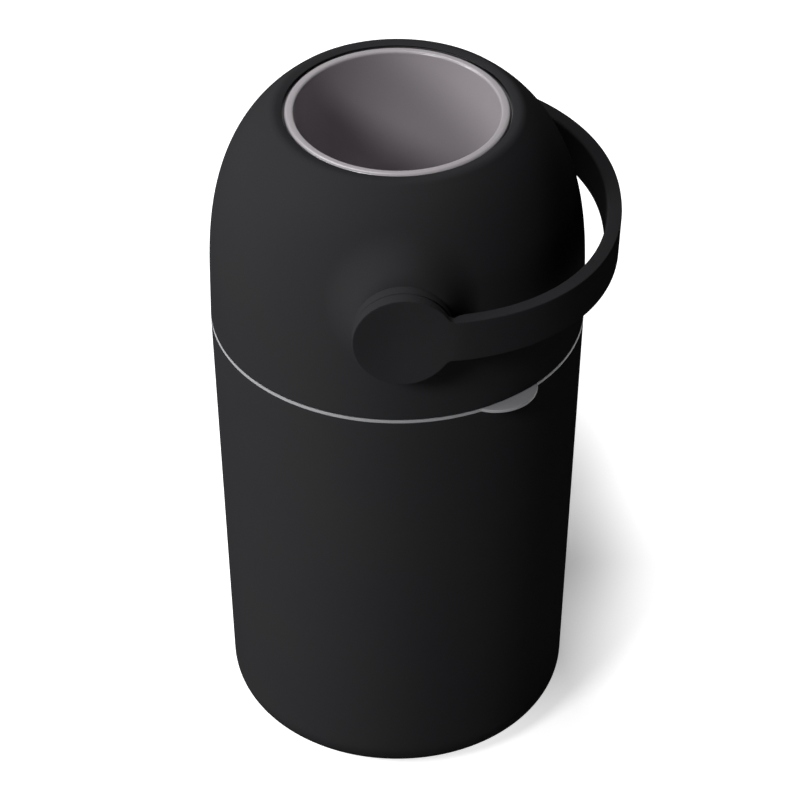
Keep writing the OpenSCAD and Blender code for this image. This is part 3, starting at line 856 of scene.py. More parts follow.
@dataclass
class DomeShell(Assembly):
    """Outer shell of the lid: a dome of superelliptic section with a hub boss at the front and rear.

    The dome is a grid of rows and columns. Round each hub a patch of it gives way to rings that run
    from the dome over the boss's fillet and face, through the bearing's bore and back to the inner
    wall, so that the whole shell is one closed skin.
    """

    straight: float = 35.0
    power: float = 2.6
    wall: float = 3.0
    band_r: float = 92.2
    mouth_r: float = 84.2
    band_drop: float = 0.9
    band_start: float = 3.4
    band_tip: float = 0.35
    band_rounding: float = 7.5
    shoulder: float = 4.6
    shoulder_drop: float = 0.35
    shoulder_rounding: float = 8.0
    lip_lean: float = 0.25
    lip_rounding: float = 0.4
    lip: float = 2.85
    seal: float = 9.3
    seal_seat: float = 3.5
    rim_edge: float = 0.5
    turn_gap: float = 0.8
    boss_r: float = 36.5
    boss_wall: float = 3.0
    boss_edge: float = 1.2
    boss_band: float = 1.0
    face_band: float = 4.0
    seat_edge: float = 0.3
    inner_edge: float = 1.0
    neck_low: float = 4.4
    neck_high: float = 8.0
    fillet_low: float = 9.0
    fillet_high: float = 30.0
    fillet_pull: float = 0.5
    fillet_lean: float = 0.8
    inner_fillet: float = 3.0
    sleeve_wall: float = 4.0
    bush_r: float = 16.2
    bush_flange: float = 1.2
    seat_room: float = 0.1
    washer_sunk: float = 0.7
    stop_rise: float = 5.5
    stop_gap: float = 0.4
    stop_room: float = 0.3
    stop_start: float = 12.4
    post: ScrewPost = ScrewPost()
    post_h: float = 24.0
    post_clamp: float = 2.9
    post_rib: float = 2.4
    post_rib_h: float = 6.0
    post_rib_start: float = 3.0
    posts: int = 6
    patch_drop: float = 70.0
    patch_rise: float = 71.0
    row: float = 4.2
    slope_step: float = 0.5
    columns: int = SEGMENTS
    patch_half: int = 16
    height_steps: int = 400
    rim_steps: int = 3
    band_steps: int = 8
    shoulder_steps: int = 6
    lip_steps: int = 4
    boss_steps: int = 4
    lead_steps: int = 10
    fillet_steps: int = 14
    inner_steps: int = 4
    stop_steps: int = 60

    shell: Extent = field(init=False)
    pivot_z: float = field(init=False)
    ball_r: float = field(init=False)
    body_r: float = field(init=False)
    sleeve_face: float = field(init=False)
    dome_z: float = field(init=False)
    dome_h: float = field(init=False)

    def __post_init__(self) -> None:
        """Reads what the frame knows."""
        self.shell = Extent.of("dome_shell")
        axle = Extent.of("front_axle")
        self.pivot_z = (axle.low.z + axle.high.z) / 2
        self.ball_r = Extent.of("rotor_shell").high.x
        self.body_r = self.shell.high.x
        self.sleeve_face = Extent.of("rear_bush").low.y + self.bush_flange
        self.dome_z = self.shell.low.z + self.straight
        share = (1 - (self.band_r / self.body_r) ** self.power) ** (1 / self.power)
        self.dome_h = (self.shell.high.z - self.dome_z) / share

    def _radius_at(self, z: float, inset: float = 0.0) -> float:
        """Radius of the dome at a height, on a face that lies the inset inside the outer one."""
        rise = max(0.0, z - self.dome_z) / (self.dome_h - inset)
        return (self.body_r - inset) * (1 - min(1.0, rise) ** self.power) ** (1 / self.power)

    def _side(self, heights: Iterable[float], inset: float = 0.0) -> list[tuple[float, float]]:
        """Points of the dome's profile at some heights, on a face that lies the inset inside."""
        return [(self._radius_at(z, inset), z) for z in heights]

    def _ball_width(self, radius: float, z: float) -> float:
        """Radius at a height of a ball about the pivot."""
        return math.sqrt(radius**2 - (z - self.pivot_z) ** 2)

    def _heights(self, low: float, high: float) -> list[float]:
        """Heights of rows that lie a row's width apart along the dome.

        Args:
            low: First height.
            high: Last height.

        Returns:
            The heights.
        """
        steps = self.height_steps
        fine = [low + (high - low) * i / steps for i in range(steps + 1)]
        reach = [0.0]
        for here, there in zip(fine, fine[1:]):
            step = math.hypot(there - here, self._radius_at(there) - self._radius_at(here))
            reach.append(reach[-1] + step)
        count = max(2, round(reach[-1] / self.row))
        found, place = [], 0
        for i in range(count + 1):
            while place < steps and reach[place] < reach[-1] * i / count - HAIR:
                place += 1
            found.append(fine[place])
        return found

    def _profile(self) -> tuple[list[Vector], int, int, int]:
        """Closed profile of the dome's wall, up the outside and down the inside.

        Returns:
            Its points, the first and last outer row of the hubs' patches, and the inner row that
            lies behind the first one.
        """
        low, top = self.shell.low.z, self.shell.high.z
        mouth_z = top - self.band_drop
        patch_z = self.pivot_z - self.patch_drop, self.pivot_z + self.patch_rise
        below = self._heights(low + self.rim_edge, patch_z[0])[:-1]
        beside = self._heights(*patch_z)
        across = (self.band_r + self.band_start) / self.body_r
        band_start = self.dome_z + self.dome_h * (1 - across**self.power) ** (1 / self.power)
        above = self._heights(patch_z[1], band_start)[1:]
        edge = self.rim_edge
        rim = arc_points((self.body_r - edge, low + edge), edge, -90, 0, self.rim_steps)
        outline = Profile().run(*rim[:-1])
        outline.run(*self._side(below))
        first = len(outline.points)
        outline.run(*self._side(beside))
        last = len(outline.points) - 1
        outline.run(*self._side(above))
        under_z = mouth_z - self.lip
        shoulder = self.band_r - self.shoulder, top - self.shoulder_drop
        band = self.band_r, top + self.band_tip
        outline.corner(band, shoulder, self.band_rounding, self.band_steps)
        tip = self.mouth_r - self.lip_lean, mouth_z
        outline.corner(shoulder, tip, self.shoulder_rounding, self.shoulder_steps)
        under = (self._ball_width(self.ball_r + self.turn_gap, under_z), under_z)
        outline.corner(tip, under, self.lip_rounding, self.lip_steps)
        seat_z = under_z - self.seal
        seat_r = self.ball_r + self.seal_seat
        seat = under_z, (under_z + seat_z) / 2, seat_z
        outline.run(under, *[(self._ball_width(seat_r, z), z) for z in seat])
        inside = [seat_z, *(z for z in reversed(above) if z < seat_z)]
        outline.run(*self._side(inside, self.wall))
        behind = len(outline.points) + len(beside) - 1
        outline.run(*self._side(reversed(below + beside), self.wall))
        outline.run((self.body_r - self.wall, low))
        return outline.points, first, last, behind

    def _hub_profile(self) -> list[Vector]:
        """Turned part of a hub: boss edge, face, washer recess, bore and sleeve, as radius and reach.

        Returns:
            The points from the boss's neck to its inner wall.
        """
        face = self.shell.high.y
        recess_r = Extent.of("thrust_washers").high.x + self.seat_room
        recess = face - self.washer_sunk
        bore_r, sleeve_r = self._sleeve()
        cap = face - self.boss_wall
        inner_r = self.boss_r - self.boss_wall
        outline = Profile().run((self.boss_r, face - self.boss_edge - self.boss_band))
        outline.corner((self.boss_r, face), (0, face), self.boss_edge, self.boss_steps)
        outline.run((recess_r + self.face_band, face))
        outline.chamfer((recess_r, face), (recess_r, recess), self.seat_edge)
        outline.run((recess_r, recess))
        outline.chamfer((bore_r, recess), (bore_r, self.sleeve_face), self.seat_edge)
        outline.run((bore_r, self.sleeve_face), (sleeve_r, self.sleeve_face))
        outline.chamfer((sleeve_r, cap), (inner_r, cap), self.inner_edge)
        outline.chamfer((inner_r, cap), (inner_r, 0), self.inner_edge)
        return outline.points

    def _sleeve(self) -> tuple[float, float]:
        """Bore and outer radius of a bearing sleeve."""
        bore_r = self.bush_r + self.seat_room
        return bore_r, bore_r + self.sleeve_wall

    def _on_dome(self, radius: float, angle: float, hub: Hub, inset: float = 0.0) -> Vector:
        """Point of the dome at a distance from the turning axis and an angle about it, in radians."""
        x, z = radius * math.cos(angle), self.pivot_z + radius * math.sin(angle)
        return Vector((x, hub.value * math.sqrt(self._radius_at(z, inset) ** 2 - x * x), z))

    def _about_axis(self, radius: float, reach: float, angle: float, hub: Hub) -> Vector:
        """Point at a distance from the turning axis, a reach along it and an angle about it, in radians."""
        return Vector((radius * math.cos(angle), hub.value * reach, self.pivot_z + radius * math.sin(angle)))

    def _blend(
        self,
        neck_r: float,
        neck_y: float,
        reach: float,
        angle: float,
        hub: Hub,
        inset: float,
        lean: float,
        steps: int,
    ) -> list[Vector]:
        """Fillet from the dome to a boss's upright wall.

        Args:
            neck_r: Radius of the wall.
            neck_y: Where the fillet ends on the wall, along the axis.
            reach: How far out on the dome it starts.
            angle: Angle about the turning axis, in radians.
            hub: Which end of the axis.
            inset: Distance of the dome's face inwards from the outer one.
            lean: Share by which the fillet meets the wall at a slant, like a low mound.
            steps: Steps along the fillet.

        Returns:
            Its points from the dome to the wall.
        """
        start = self._on_dome(neck_r + reach, angle, hub, inset)
        near = self._on_dome(neck_r + reach - self.slope_step, angle, hub, inset)
        slope = (abs(near.y) - abs(start.y)) / self.slope_step
        foot = Vector((neck_r + reach, abs(start.y)))
        tip = Vector((neck_r, abs(start.y) + slope * reach))
        end = Vector((neck_r, neck_y))
        pull = self.fillet_pull
        slant = Vector((neck_r + reach * lean, end.y + (tip.y - end.y) * lean))
        handles = foot, foot.lerp(tip, pull), end.lerp(tip.lerp(slant, lean), pull), end
        points = []
        for i in range(steps + 1):
            t = i / steps
            weights = (1 - t) ** 3, 3 * t * (1 - t) ** 2, 3 * t * t * (1 - t), t**3
            radius, y = sum((h * w for h, w in zip(handles, weights)), Vector((0, 0)))
            points.append(self._about_axis(radius, y, angle, hub))
        return points

    def _hub_path(self, rim: Vector, inner_rim: Vector, hub: Hub) -> list[Vector]:
        """Path from a point of the outer patch's rim over the boss and back to the inner patch's rim.

        Args:
            rim: Point on the outer face.
            inner_rim: Point on the inner face.
            hub: Which end of the axis.

        Returns:
            The points between the two.
        """
        angle = math.atan2(rim.z - self.pivot_z, rim.x)
        lift = (1 + math.sin(angle)) / 2
        reach = self.fillet_low + (self.fillet_high - self.fillet_low) * lift
        face, wall = self.shell.high.y, self.wall
        neck_y = face - self.neck_low - (self.neck_high - self.neck_low) * lift
        lean = self.fillet_lean * lift
        path = self._lead(rim, self.boss_r + reach, angle, hub, 0.0)
        path += self._blend(self.boss_r, neck_y, reach, angle, hub, 0.0, lean, self.fillet_steps)
        path += [self._about_axis(radius, y, angle, hub) for radius, y in self._hub_profile()]
        inner_r, fillet = self.boss_r - self.boss_wall, self.inner_fillet
        inner_y = face - self.boss_wall - fillet
        path += reversed(self._blend(inner_r, inner_y, fillet, angle, hub, wall, 0.0, self.inner_steps))
        path += reversed(self._lead(inner_rim, inner_r + fillet, angle, hub, wall))
        return path

    def _lead(self, rim: Vector, start_r: float, angle: float, hub: Hub, inset: float) -> list[Vector]:
        """Points of the dome between the rim of a patch and the start of a fillet.

        Args:
            rim: Point on the patch's rim.
            start_r: Radius at which the fillet starts.
            angle: Angle about the turning axis, in radians.
            hub: Which end of the axis.
            inset: Distance of the dome's face inwards from the outer one.

        Returns:
            The points between the two.
        """
        rim_r = math.hypot(rim.x, rim.z - self.pivot_z)
        steps = self.lead_steps
        reaches = [rim_r + (start_r - rim_r) * i / steps for i in range(1, steps)]
        return [self._on_dome(radius, angle, hub, inset) for radius in reaches]

    def _wall_mesh(self) -> Mesh:
        """Shapes the wall with both hub bosses.

        Returns:
            One closed mesh.
        """
        profile, first, last, behind = self._profile()
        rows, columns = len(profile), self.columns
        skin = Skin()
        known: dict[tuple[int, int], int] = {}

        def at(row: int, column: int) -> int:
            """Place of a grid point in the skin, which is added when it is first used.

            Args:
                row: Row of the profile, counted on past the last one.
                column: Column round the upright axis, counted on likewise.

            Returns:
                The place.
            """
            key = row % rows, column % columns
            if key not in known:
                radius, z = profile[key[0]]
                turn = math.tau * key[1] / columns
                (known[key],) = skin.ring([Vector((radius * math.cos(turn), radius * math.sin(turn), z))])
            return known[key]

        middles = {Hub.REAR: columns // 4, Hub.FRONT: 3 * columns // 4}
        half = self.patch_half
        for row in range(rows):
            inside_rows = first <= row < last or behind - (last - first) <= row < behind
            for column in range(columns):
                if inside_rows and any(-half <= column - m < half for m in middles.values()):
                    continue
                skin.faces.append(
                    (at(row, column), at(row, column + 1), at(row + 1, column + 1), at(row + 1, column))
                )
        for hub, middle in middles.items():
            left, right = middle - half, middle + half
            edge = [(0, c) for c in range(left, right)]
            edge += [(r, right) for r in range(last - first)]
            edge += [(last - first, c) for c in range(right, left, -1)]
            edge += [(r, left) for r in range(last - first, 0, -1)]
            outer = [at(first + r, c) for r, c in edge]
            inner = [at(behind - r, c) for r, c in edge]
            paths = [self._hub_path(skin.points[a], skin.points[b], hub) for a, b in zip(outer, inner)]
            skin.loft([outer, *(skin.ring(step) for step in zip(*paths)), inner])
        return skin.mesh("dome_wall")

    def _stop_arc(self, hub: Hub) -> Mesh:
        """Arc on a bearing sleeve, between whose ends the ball's lug swings.

        Args:
            hub: Which end of the axis.

        Returns:
            A closed mesh.
        """
        _, sleeve_r = self._sleeve()
        low, sleeve_face = self.ball_r + self.stop_gap, self.sleeve_face
        high, outside = sleeve_face + self.stop_rise, sleeve_r + self.stop_rise
        inside, root = sleeve_r + self.stop_room, sleeve_r - self.sleeve_wall / 2
        section = [(inside, low), (outside, low), (outside, high), (root, high)]
        section += [(root, sleeve_face), (inside, sleeve_face)]
        skin = Skin()
        rings = []
        for i in range(self.stop_steps + 1):
            angle = math.radians(self.stop_start + (180 - 2 * self.stop_start) * i / self.stop_steps)
            rings.append(skin.ring(self._about_axis(radius, y, angle, hub) for radius, y in section))
        return skin.capped("stop_arc", rings)

    def _posts(self) -> Mesh:
        """Ring of hollow screw posts inside the lid, each with a rib that ties it to the wall.

        Returns:
            One closed mesh.
        """
        screws = Extent.of("lid_screws")
        ring = Fasteners.small.ring_radius(screws, self.posts)
        low = screws.low.z + Fasteners.small.head_h + self.post_clamp
        top = low + self.post_h
        material = self.finishes.shell
        post = self.shop.turn("lid_post", self.post.corners(low, top, True), material, True, SMALL_SEGMENTS)
        near, far, half = self.post_rib_start, self.body_r - self.wall / 2 - ring, self.post_rib / 2
        plan = (near, -half), (far, -half), (far, half), (near, half)
        rib = prism("lid_post_rib", plan, top - self.post_rib_h, top)
        one = joined("lid_post", [post, rib], material)
        return close_up(self.shop.repeat("lid_posts", one, self.posts, ring, material))

    def build(self) -> None:
        """Builds the shell with its posts and stop arcs."""
        parts = [self._wall_mesh(), self._posts(), *(self._stop_arc(hub) for hub in Hub)]
        shell = joined("lid_dome", parts, self.finishes.shell)
        fit_piece("lid_dome", shell, Body.LID, Slot.SHELL, "dome_shell")


@dataclass
class SwingHandle(Assembly):
    """Bent strap that ends in a round hub disc on each side.

    It is drawn flat, as a keyhole outline along the strap's length, and then bent round the lid.
    """

    pivot_z: float
    disc_r: float = 37.4
    strap_w: float = 34.5
    strap_t: float = 11.0
    fillet: float = 7.0
    droop: float = 2.9
    power: float = 2.15
    reach: float = 165.4
    boss_face: float = 151.4
    boss_room: float = 37.9
    boss_ease: float = 5.0
    back_gap: float = 0.8
    outer_edge: float = 0.8
    inner_edge: float = 2.4
    dish: float = 3.4
    dish_r: float = 44.0
    dish_power: float = 1.5
    key_side: float = 13.8
    key_l: float = 8.0
    key_root: float = 1.0
    key_edge: float = 0.8
    key_hole_r: float = 2.55
    plan_steps: int = 900
    disc_steps: int = 56
    fillet_steps: int = 8
    strap_steps: int = 110
    strap_rows: int = 6
    edge_steps: int = 5
    key_steps: int = 32
    disc_rings: tuple[float, ...] = (0.97, 0.85, 0.68, 0.5, 0.32, 0.16)

    face: float = field(init=False)
    length: float = field(init=False)
    plan: list[tuple[float, Vector]] = field(init=False)

    def __post_init__(self) -> None:
        """Lays out the strap's curve from above."""
        self.face = Extent.of("handle").high.y
        self.plan = []
        reach = 0.0
        last = Vector((0.0, -self.face))
        for i in range(self.plan_steps + 1):
            angle = math.radians(-90 + 180 * i / self.plan_steps)
            side, front = abs(math.cos(angle)) / self.reach, abs(math.sin(angle)) / self.face
            length = (side**self.power + front**self.power) ** (-1 / self.power)
            point = Vector((length * math.cos(angle), length * math.sin(angle)))
            reach += (point - last).length
            self.plan.append((reach, point))
            last = point
        self.length = reach

    def _plan_at(self, along: float) -> tuple[Vector, Vector]:
        """Place and inward direction of the strap's outer face.

        Args:
            along: Distance along the strap from the front hub's middle.

        Returns:
            The place from above and the unit direction to the inside.
        """
        if along <= 0 or along >= self.length:
            side = 1.0 if along <= 0 else -1.0
            over = min(along, 0.0) + max(along - self.length, 0.0)
            return Vector((side * over, -side * self.face)), Vector((0.0, side))
        after = bisect_right(self.plan, along, key=itemgetter(0))
        (start, one), (end, other) = self.plan[after - 1 : after + 1]
        share = (along - start) / (end - start)
        heading = (self._heading(after - 1) * (1 - share) + self._heading(after) * share).normalized()
        return one.lerp(other, share), Vector((-heading.y, heading.x))

    def _heading(self, place: int) -> Vector:
        """Direction of the strap's curve at one of its points.

        Args:
            place: The point's place in the plan.

        Returns:
            The unit direction.
        """
        if place in (0, len(self.plan) - 1):
            return Vector((1.0 if place == 0 else -1.0, 0.0))
        return (self.plan[place + 1][1] - self.plan[place - 1][1]).normalized()

    def _outline(self, inset: float) -> tuple[list[Vector], int, int]:
        """Keyhole outline with both discs, drawn inside its edge.

        Args:
            inset: Distance inside the edge.

        Returns:
            Its points, and how many belong to the disc's arc and to one strap edge.
        """
        half = self.strap_w / 2
        lift = half + self.fillet
        centre_x = math.sqrt((self.disc_r + self.fillet) ** 2 - lift**2)
        lean = math.degrees(math.atan2(lift, centre_x))
        disc = arc_points((0, 0), self.disc_r - inset, lean, 360 - lean, self.disc_steps)
        round_r = self.fillet + inset
        low = arc_points((centre_x, -lift), round_r, 180 - lean, 90, self.fillet_steps)[1:]
        high = arc_points((centre_x, lift), round_r, 270, 180 + lean, self.fillet_steps)[:-1]
        far = self.length - centre_x
        strap = [
            Vector((centre_x + (far - centre_x) * i / self.strap_steps, inset - half))
            for i in range(1, self.strap_steps)
        ]
        end = high + disc + low
        back = [Vector((self.length - p.x, -p.y)) for p in end + strap]
        return end + strap + back, len(end), len(strap)

    def _thickness(self, along: float) -> float:
        """Thickness of the handle, which is less where the disc's back clears the boss.

        Args:
            along: Distance along the strap.

        Returns:
            The thickness along the inward direction.
        """
        near = min(along, self.length - along)
        place, inward = self._plan_at(max(near, 0.0))
        flat = (-self.boss_face - self.back_gap - place.y) / inward.y
        share = eased((near - self.boss_room) / self.boss_ease) if near > 0 else 0.0
        return flat + (self.strap_t - flat) * share

    def _bent(self, flat: Vector, depth: float) -> Vector:
        """Point of the bent handle.

        Args:
            flat: Place on the outline: distance along the strap and height.
            depth: Depth under the outer face.

        Returns:
            The point about the turning axis, before the handle droops.
        """
        place, inward = self._plan_at(flat.x)
        spot = place + inward * depth
        return Vector((spot.x, spot.y, flat.y))

    def _dished(self, flat: Vector) -> float:
        """Depth of the shallow dish in a hub disc's outer face.

        Args:
            flat: Place on the outline: distance along the strap and height.

        Returns:
            The depth there.
        """
        near = min(flat.x, self.length - flat.x)
        share = min(1.0, math.hypot(near, flat.y) / self.dish_r)
        return self.dish * (1 - share * share) ** self.dish_power

    def _face(
        self, skin: Skin, rim: list[int], flat: list[Vector], ends: int, run: int, depth: float | None
    ) -> None:
        """Closes one face of the handle inside its rounded edge.

        Args:
            skin: Skin that takes the faces.
            rim: The rim's places in the skin.
            flat: The rim's points on the flat outline.
            ends: How many points belong to each end.
            run: How many points belong to each strap edge.
            depth: Depth of the face, or None for the inner one, which follows the thickness.
        """

        def point(spot: Vector) -> Vector:
            """Bent point at the face's depth."""
            return self._bent(spot, self._thickness(spot.x) if depth is None else depth + self._dished(spot))

        def sides(spots: list) -> tuple[list, list]:
            """Lower and upper edge of the strap, from the front to the rear."""
            return spots[ends - 1 : ends + run + 1], [spots[0], *reversed(spots[2 * ends + run - 1 :])]

        (low, high), (low_flat, high_flat) = sides(rim), sides(flat)
        rows = self.strap_rows
        shares = [0.5 - 0.5 * math.cos(math.pi * r / rows) for r in range(1, rows)]
        between = [[a.lerp(b, share) for a, b in zip(low_flat, high_flat)] for share in shares]
        lines = [low, *(skin.ring(map(point, line)) for line in between), high]
        for one, other in zip(lines, lines[1:]):
            skin.bridge(one, other, closed=False)
        for near in (True, False):
            first = 0 if near else ends + run
            chord = [line[0 if near else -1] for line in (lines[1:-1] if near else lines[-2:0:-1])]
            loop = rim[first : first + ends] + chord
            centre = Vector((0.0 if near else self.length, 0.0))
            one, other = (low_flat[0], high_flat[0]) if near else (high_flat[-1], low_flat[-1])
            loop_flat = flat[first : first + ends] + [one.lerp(other, share) for share in shares]
            rings = [loop]
            for share in self.disc_rings:
                rings.append(skin.ring(point(centre.lerp(p, share)) for p in loop_flat))
            skin.loft(rings)
            skin.fan(rings[-1], point(centre))

    def build(self) -> None:
        """Builds the handle."""
        mesh = joined("swing_handle", [self._bent_mesh()], self.finishes.shell)
        fit_piece("swing_handle", mesh, Body.CUP, Slot.SHELL, "handle")

    def _bent_mesh(self) -> Mesh:
        """Shapes the handle.

        Returns:
            One closed mesh of the strap and both discs, with the spigots let into their backs.
        """
        skin = Skin()
        outer, inner = self.outer_edge, self.inner_edge
        turns = [math.pi / 2 * i / self.edge_steps for i in range(self.edge_steps + 1)]
        edges = [(outer * (1 - math.sin(t)), outer * (1 - math.cos(t)), 0.0) for t in turns]
        edges += [(inner * (1 - math.cos(t)), inner * (math.sin(t) - 1), 1.0) for t in turns]
        rims = []
        for inset, depth, share in edges:
            flat, ends, run = self._outline(inset)
            depths = [self._thickness(p.x) * share + depth + self._dished(p) * (1 - share) for p in flat]
            rims.append((skin.ring(map(self._bent, flat, depths)), flat))
        skin.loft([rim for rim, _ in rims])
        self._face(skin, *rims[0], ends, run, 0.0)
        self._face(skin, *rims[-1], ends, run, None)
        self._spigots(skin)
        droop = Matrix.Rotation(math.radians(self.droop), 3, "Y")
        skin.points = [droop @ p + Vector((0, 0, self.pivot_z)) for p in skin.points]
        return skin.mesh("swing_handle")

    def _spigots(self, skin: Skin) -> None:
        """Adds the square spigot behind each hub disc, with a chamfered end and a screw hole.

        Args:
            skin: Skin that takes the spigots.
        """
        half, edge, hole = self.key_side / 2, self.key_edge, self.key_hole_r
        back = self.boss_face + self.back_gap
        end = back - self.key_l
        root = back + self.key_root
        section = (half, root), (half, end + edge), (half - edge, end), (hole, end), (hole, root)
        angles = [math.tau * (i + 0.5) / self.key_steps for i in range(self.key_steps)]
        for hub in Hub:
            rings = []
            for reach, y in section:
                ring = []
                for side, height in ((math.cos(a), math.sin(a)) for a in angles):
                    size = reach if reach == hole else reach / max(abs(side), abs(height))
                    ring.append(Vector((size * side, hub.value * y, size * height)))
                rings.append(skin.ring(ring))
            skin.loft(rings, endless=True)


@dataclass
class BagClamp(Assembly):
    """Ring that clamps the bag, with its finger tab."""

    flange: float = 2.8
    flange_w: float = 14.0
    wall: float = 2.2
    skirt_r: float = 134.57
    collar_gap: float = 3.4
    tab_r: float = 31.5
    tab_reach: float = 11.5
    tab_angle: float = 35.2
    tab_fillet: float = 1.2
    edge: float = 0.6
    chamfer: float = 0.5
    ribs: int = 12
    rib_w: float = 5.0
    rib_proud: float = 1.5
    rib_shoulder: float = 0.5
    rib_nose: float = 0.6
    ring_steps: int = 220
    tab_steps: int = 36
    fillet_steps: int = 4
    edge_steps: int = 4

    def _outline(self, inset: float, radius: float) -> list[Vector]:
        """Outline of the flange from above, drawn inside its edge.

        Args:
            inset: Distance inside the edge.
            radius: Radius of the ring.

        Returns:
            Its points, with the tab towards +X.
        """
        middle = radius + self.tab_reach - self.tab_r
        round_x, reach = self._tab_corner(radius, middle)
        lean = math.degrees(math.atan2(reach, round_x))
        tab_lean = math.degrees(math.atan2(reach, round_x - middle))
        fillet, steps = self.tab_fillet + inset, self.fillet_steps
        ring = arc_points((0, 0), radius - inset, lean, 360 - lean, self.ring_steps)
        low = arc_points((round_x, -reach), fillet, 180 - lean, 180 - tab_lean, steps)[1:-1]
        tab = arc_points((middle, 0), self.tab_r - inset, -tab_lean, tab_lean, self.tab_steps)
        high = arc_points((round_x, reach), fillet, 180 + tab_lean, 180 + lean, steps)[1:-1]
        return ring + low + tab + high

    def _tab_corner(self, radius: float, middle: float) -> tuple[float, float]:
        """Centre of the fillet between the ring and the tab.

        Args:
            radius: Radius of the ring.
            middle: Distance of the tab's centre from the axis.

        Returns:
            Its distance along the tab and to one side.
        """
        one, other = radius + self.tab_fillet, self.tab_r + self.tab_fillet
        x = (one**2 - other**2 + middle**2) / (2 * middle)
        return x, math.sqrt(one**2 - x**2)

    def build(self) -> None:
        """Builds the ring."""
        box = Extent.of("bag_ring")
        tub, dome = Extent.of("tub"), Extent.of("dome_shell")
        radius = tub.radius
        low = (tub.high.z + dome.low.z) / 2 - self.flange / 2
        top = low + self.flange
        angles = [math.atan2(p.y, p.x) for p in self._outline(0.0, radius)]
        skin = Skin()

        def circle(r: float, z: float) -> list[int]:
            """Ring of points at the outline's own angles."""
            return skin.ring(Vector((r * math.cos(a), r * math.sin(a), z)) for a in angles)

        rings = []
        for i in range(self.edge_steps + 1):
            turn = math.pi * i / self.edge_steps
            middle = low + self.edge if 2 * i <= self.edge_steps else top - self.edge
            height = middle - self.edge * math.cos(turn)
            outline = self._outline(self.edge * (1 - math.sin(turn)), radius)
            rings.append(skin.ring(Vector((*p, height)) for p in outline))
        foot, peak = box.low.z, box.high.z
        collar, skirt, bore = radius - self.collar_gap, self.skirt_r, radius - self.flange_w
        behind, within = collar - self.wall, skirt - self.wall
        corners = [(collar, top), (collar, peak), (behind, peak), (behind, top), (bore, top), (bore, low)]
        corners += [(within, low), (within, foot), (skirt, foot), (skirt, low), (radius, low)]
        inner = Profile().run((radius, top))
        for corner, after in zip(corners, corners[1:]):
            inner.chamfer(corner, after, self.chamfer)
        rings += [circle(r, z) for r, z in inner.points[1:]]
        skin.loft(rings, endless=True)
        finish = self.finishes.ring
        ribs = self.shop.repeat("grip_ribs", self._rib(foot, low), self.ribs, self.skirt_r, finish)
        mesh = joined("bag_clamp_ring", [skin.mesh("flange"), close_up(ribs)], finish)
        mesh.transform(Matrix.Rotation(math.radians(self.tab_angle - 90), 4, "Z"))
        fit_piece("bag_clamp_ring", mesh, Body.RING, Slot.RING, "bag_ring")

    def _rib(self, low: float, top: float) -> Mesh:
        """One grip rib of the skirt, with a rounded nose.

        Args:
            low: Its lower end.
            top: Its upper end.

        Returns:
            A mesh at the ring's radius.
        """
        root, proud, half = -self.wall / 2, self.rib_proud, self.rib_w / 2
        side = [(root, half), (proud * self.rib_shoulder, half), (proud, half * self.rib_nose)]
        nose = [(x, -y) for x, y in side] + side[::-1]
        return prism("grip_rib", nose, low, top + self.flange / 2)


@dataclass
class Cup(Assembly):
    """Cup with a rolled rim, and the screw posts under its floor."""

    rim_w: float = 7.2
    taper: float = 12.0
    wall: float = 2.2
    flange: float = 2.0
    rounding: float = 20.0
    post: ScrewPost = ScrewPost()
    post_h: float = 18.0
    post_ring: float = 34.0
    posts: int = 4
    rim_r: float = 83.2
    rim_inner: float = 1.7
    rim_outer: float = 2.8
    rim_gap: float = 0.05
    lip_gap: float = 0.1
    edge: float = 0.4
    throat_edge: float = 0.6
    lip_edge: float = 0.1

    def build(self) -> None:
        """Builds the cup."""
        box = Extent.of("cup_liner")
        top, flange_r = box.high.z, box.radius
        under = box.low.z + self.post_h
        floor = under + self.wall
        mouth = self.rim_r - self.rim_w
        foot = mouth - self.taper
        seat = Extent.of("rotor_shell").high.z
        rim_z, lip_r, lip_z = seat + self.rim_gap, self.rim_r + self.lip_gap, seat + self.flange
        corners = [
            Corner(0, floor),
            Corner(foot, floor, self.rounding),
            Corner(mouth, top - self.rim_w / 2),
            Corner(mouth, top, self.rim_inner),
            Corner(self.rim_r, top, self.rim_outer),
            Corner(self.rim_r, rim_z, self.edge),
            Corner(mouth + self.wall, rim_z, self.throat_edge),
            Corner(foot + self.wall, under, self.rounding + self.wall),
            Corner(0, under),
        ]
        shop, finish = self.shop, self.finishes.cup
        body = shop.turn("cup_body", corners, finish)
        wall = self.post.corners(box.low.z, under + self.wall / 2, False)
        post = shop.turn("cup_post", wall, finish, True, SMALL_SEGMENTS)
        posts = shop.repeat("cup_posts", post, self.posts, self.post_ring, finish)
        mesh = joined("turning_cup", [body, close_up(posts)], finish)
        fit_piece("cup_bowl", mesh, Body.CUP, Slot.CUP, "cup_liner")
        corners = [
            Corner(lip_r, rim_z, self.lip_edge),
            Corner(flange_r, rim_z, self.lip_edge),
            Corner(flange_r, lip_z, self.edge),
            Corner(lip_r, lip_z, self.edge),
        ]
        lip = shop.turn("ball_lip", corners, self.finishes.inner, True)
        fit_piece("ball_lip", lip, Body.CUP, Slot.INNER)


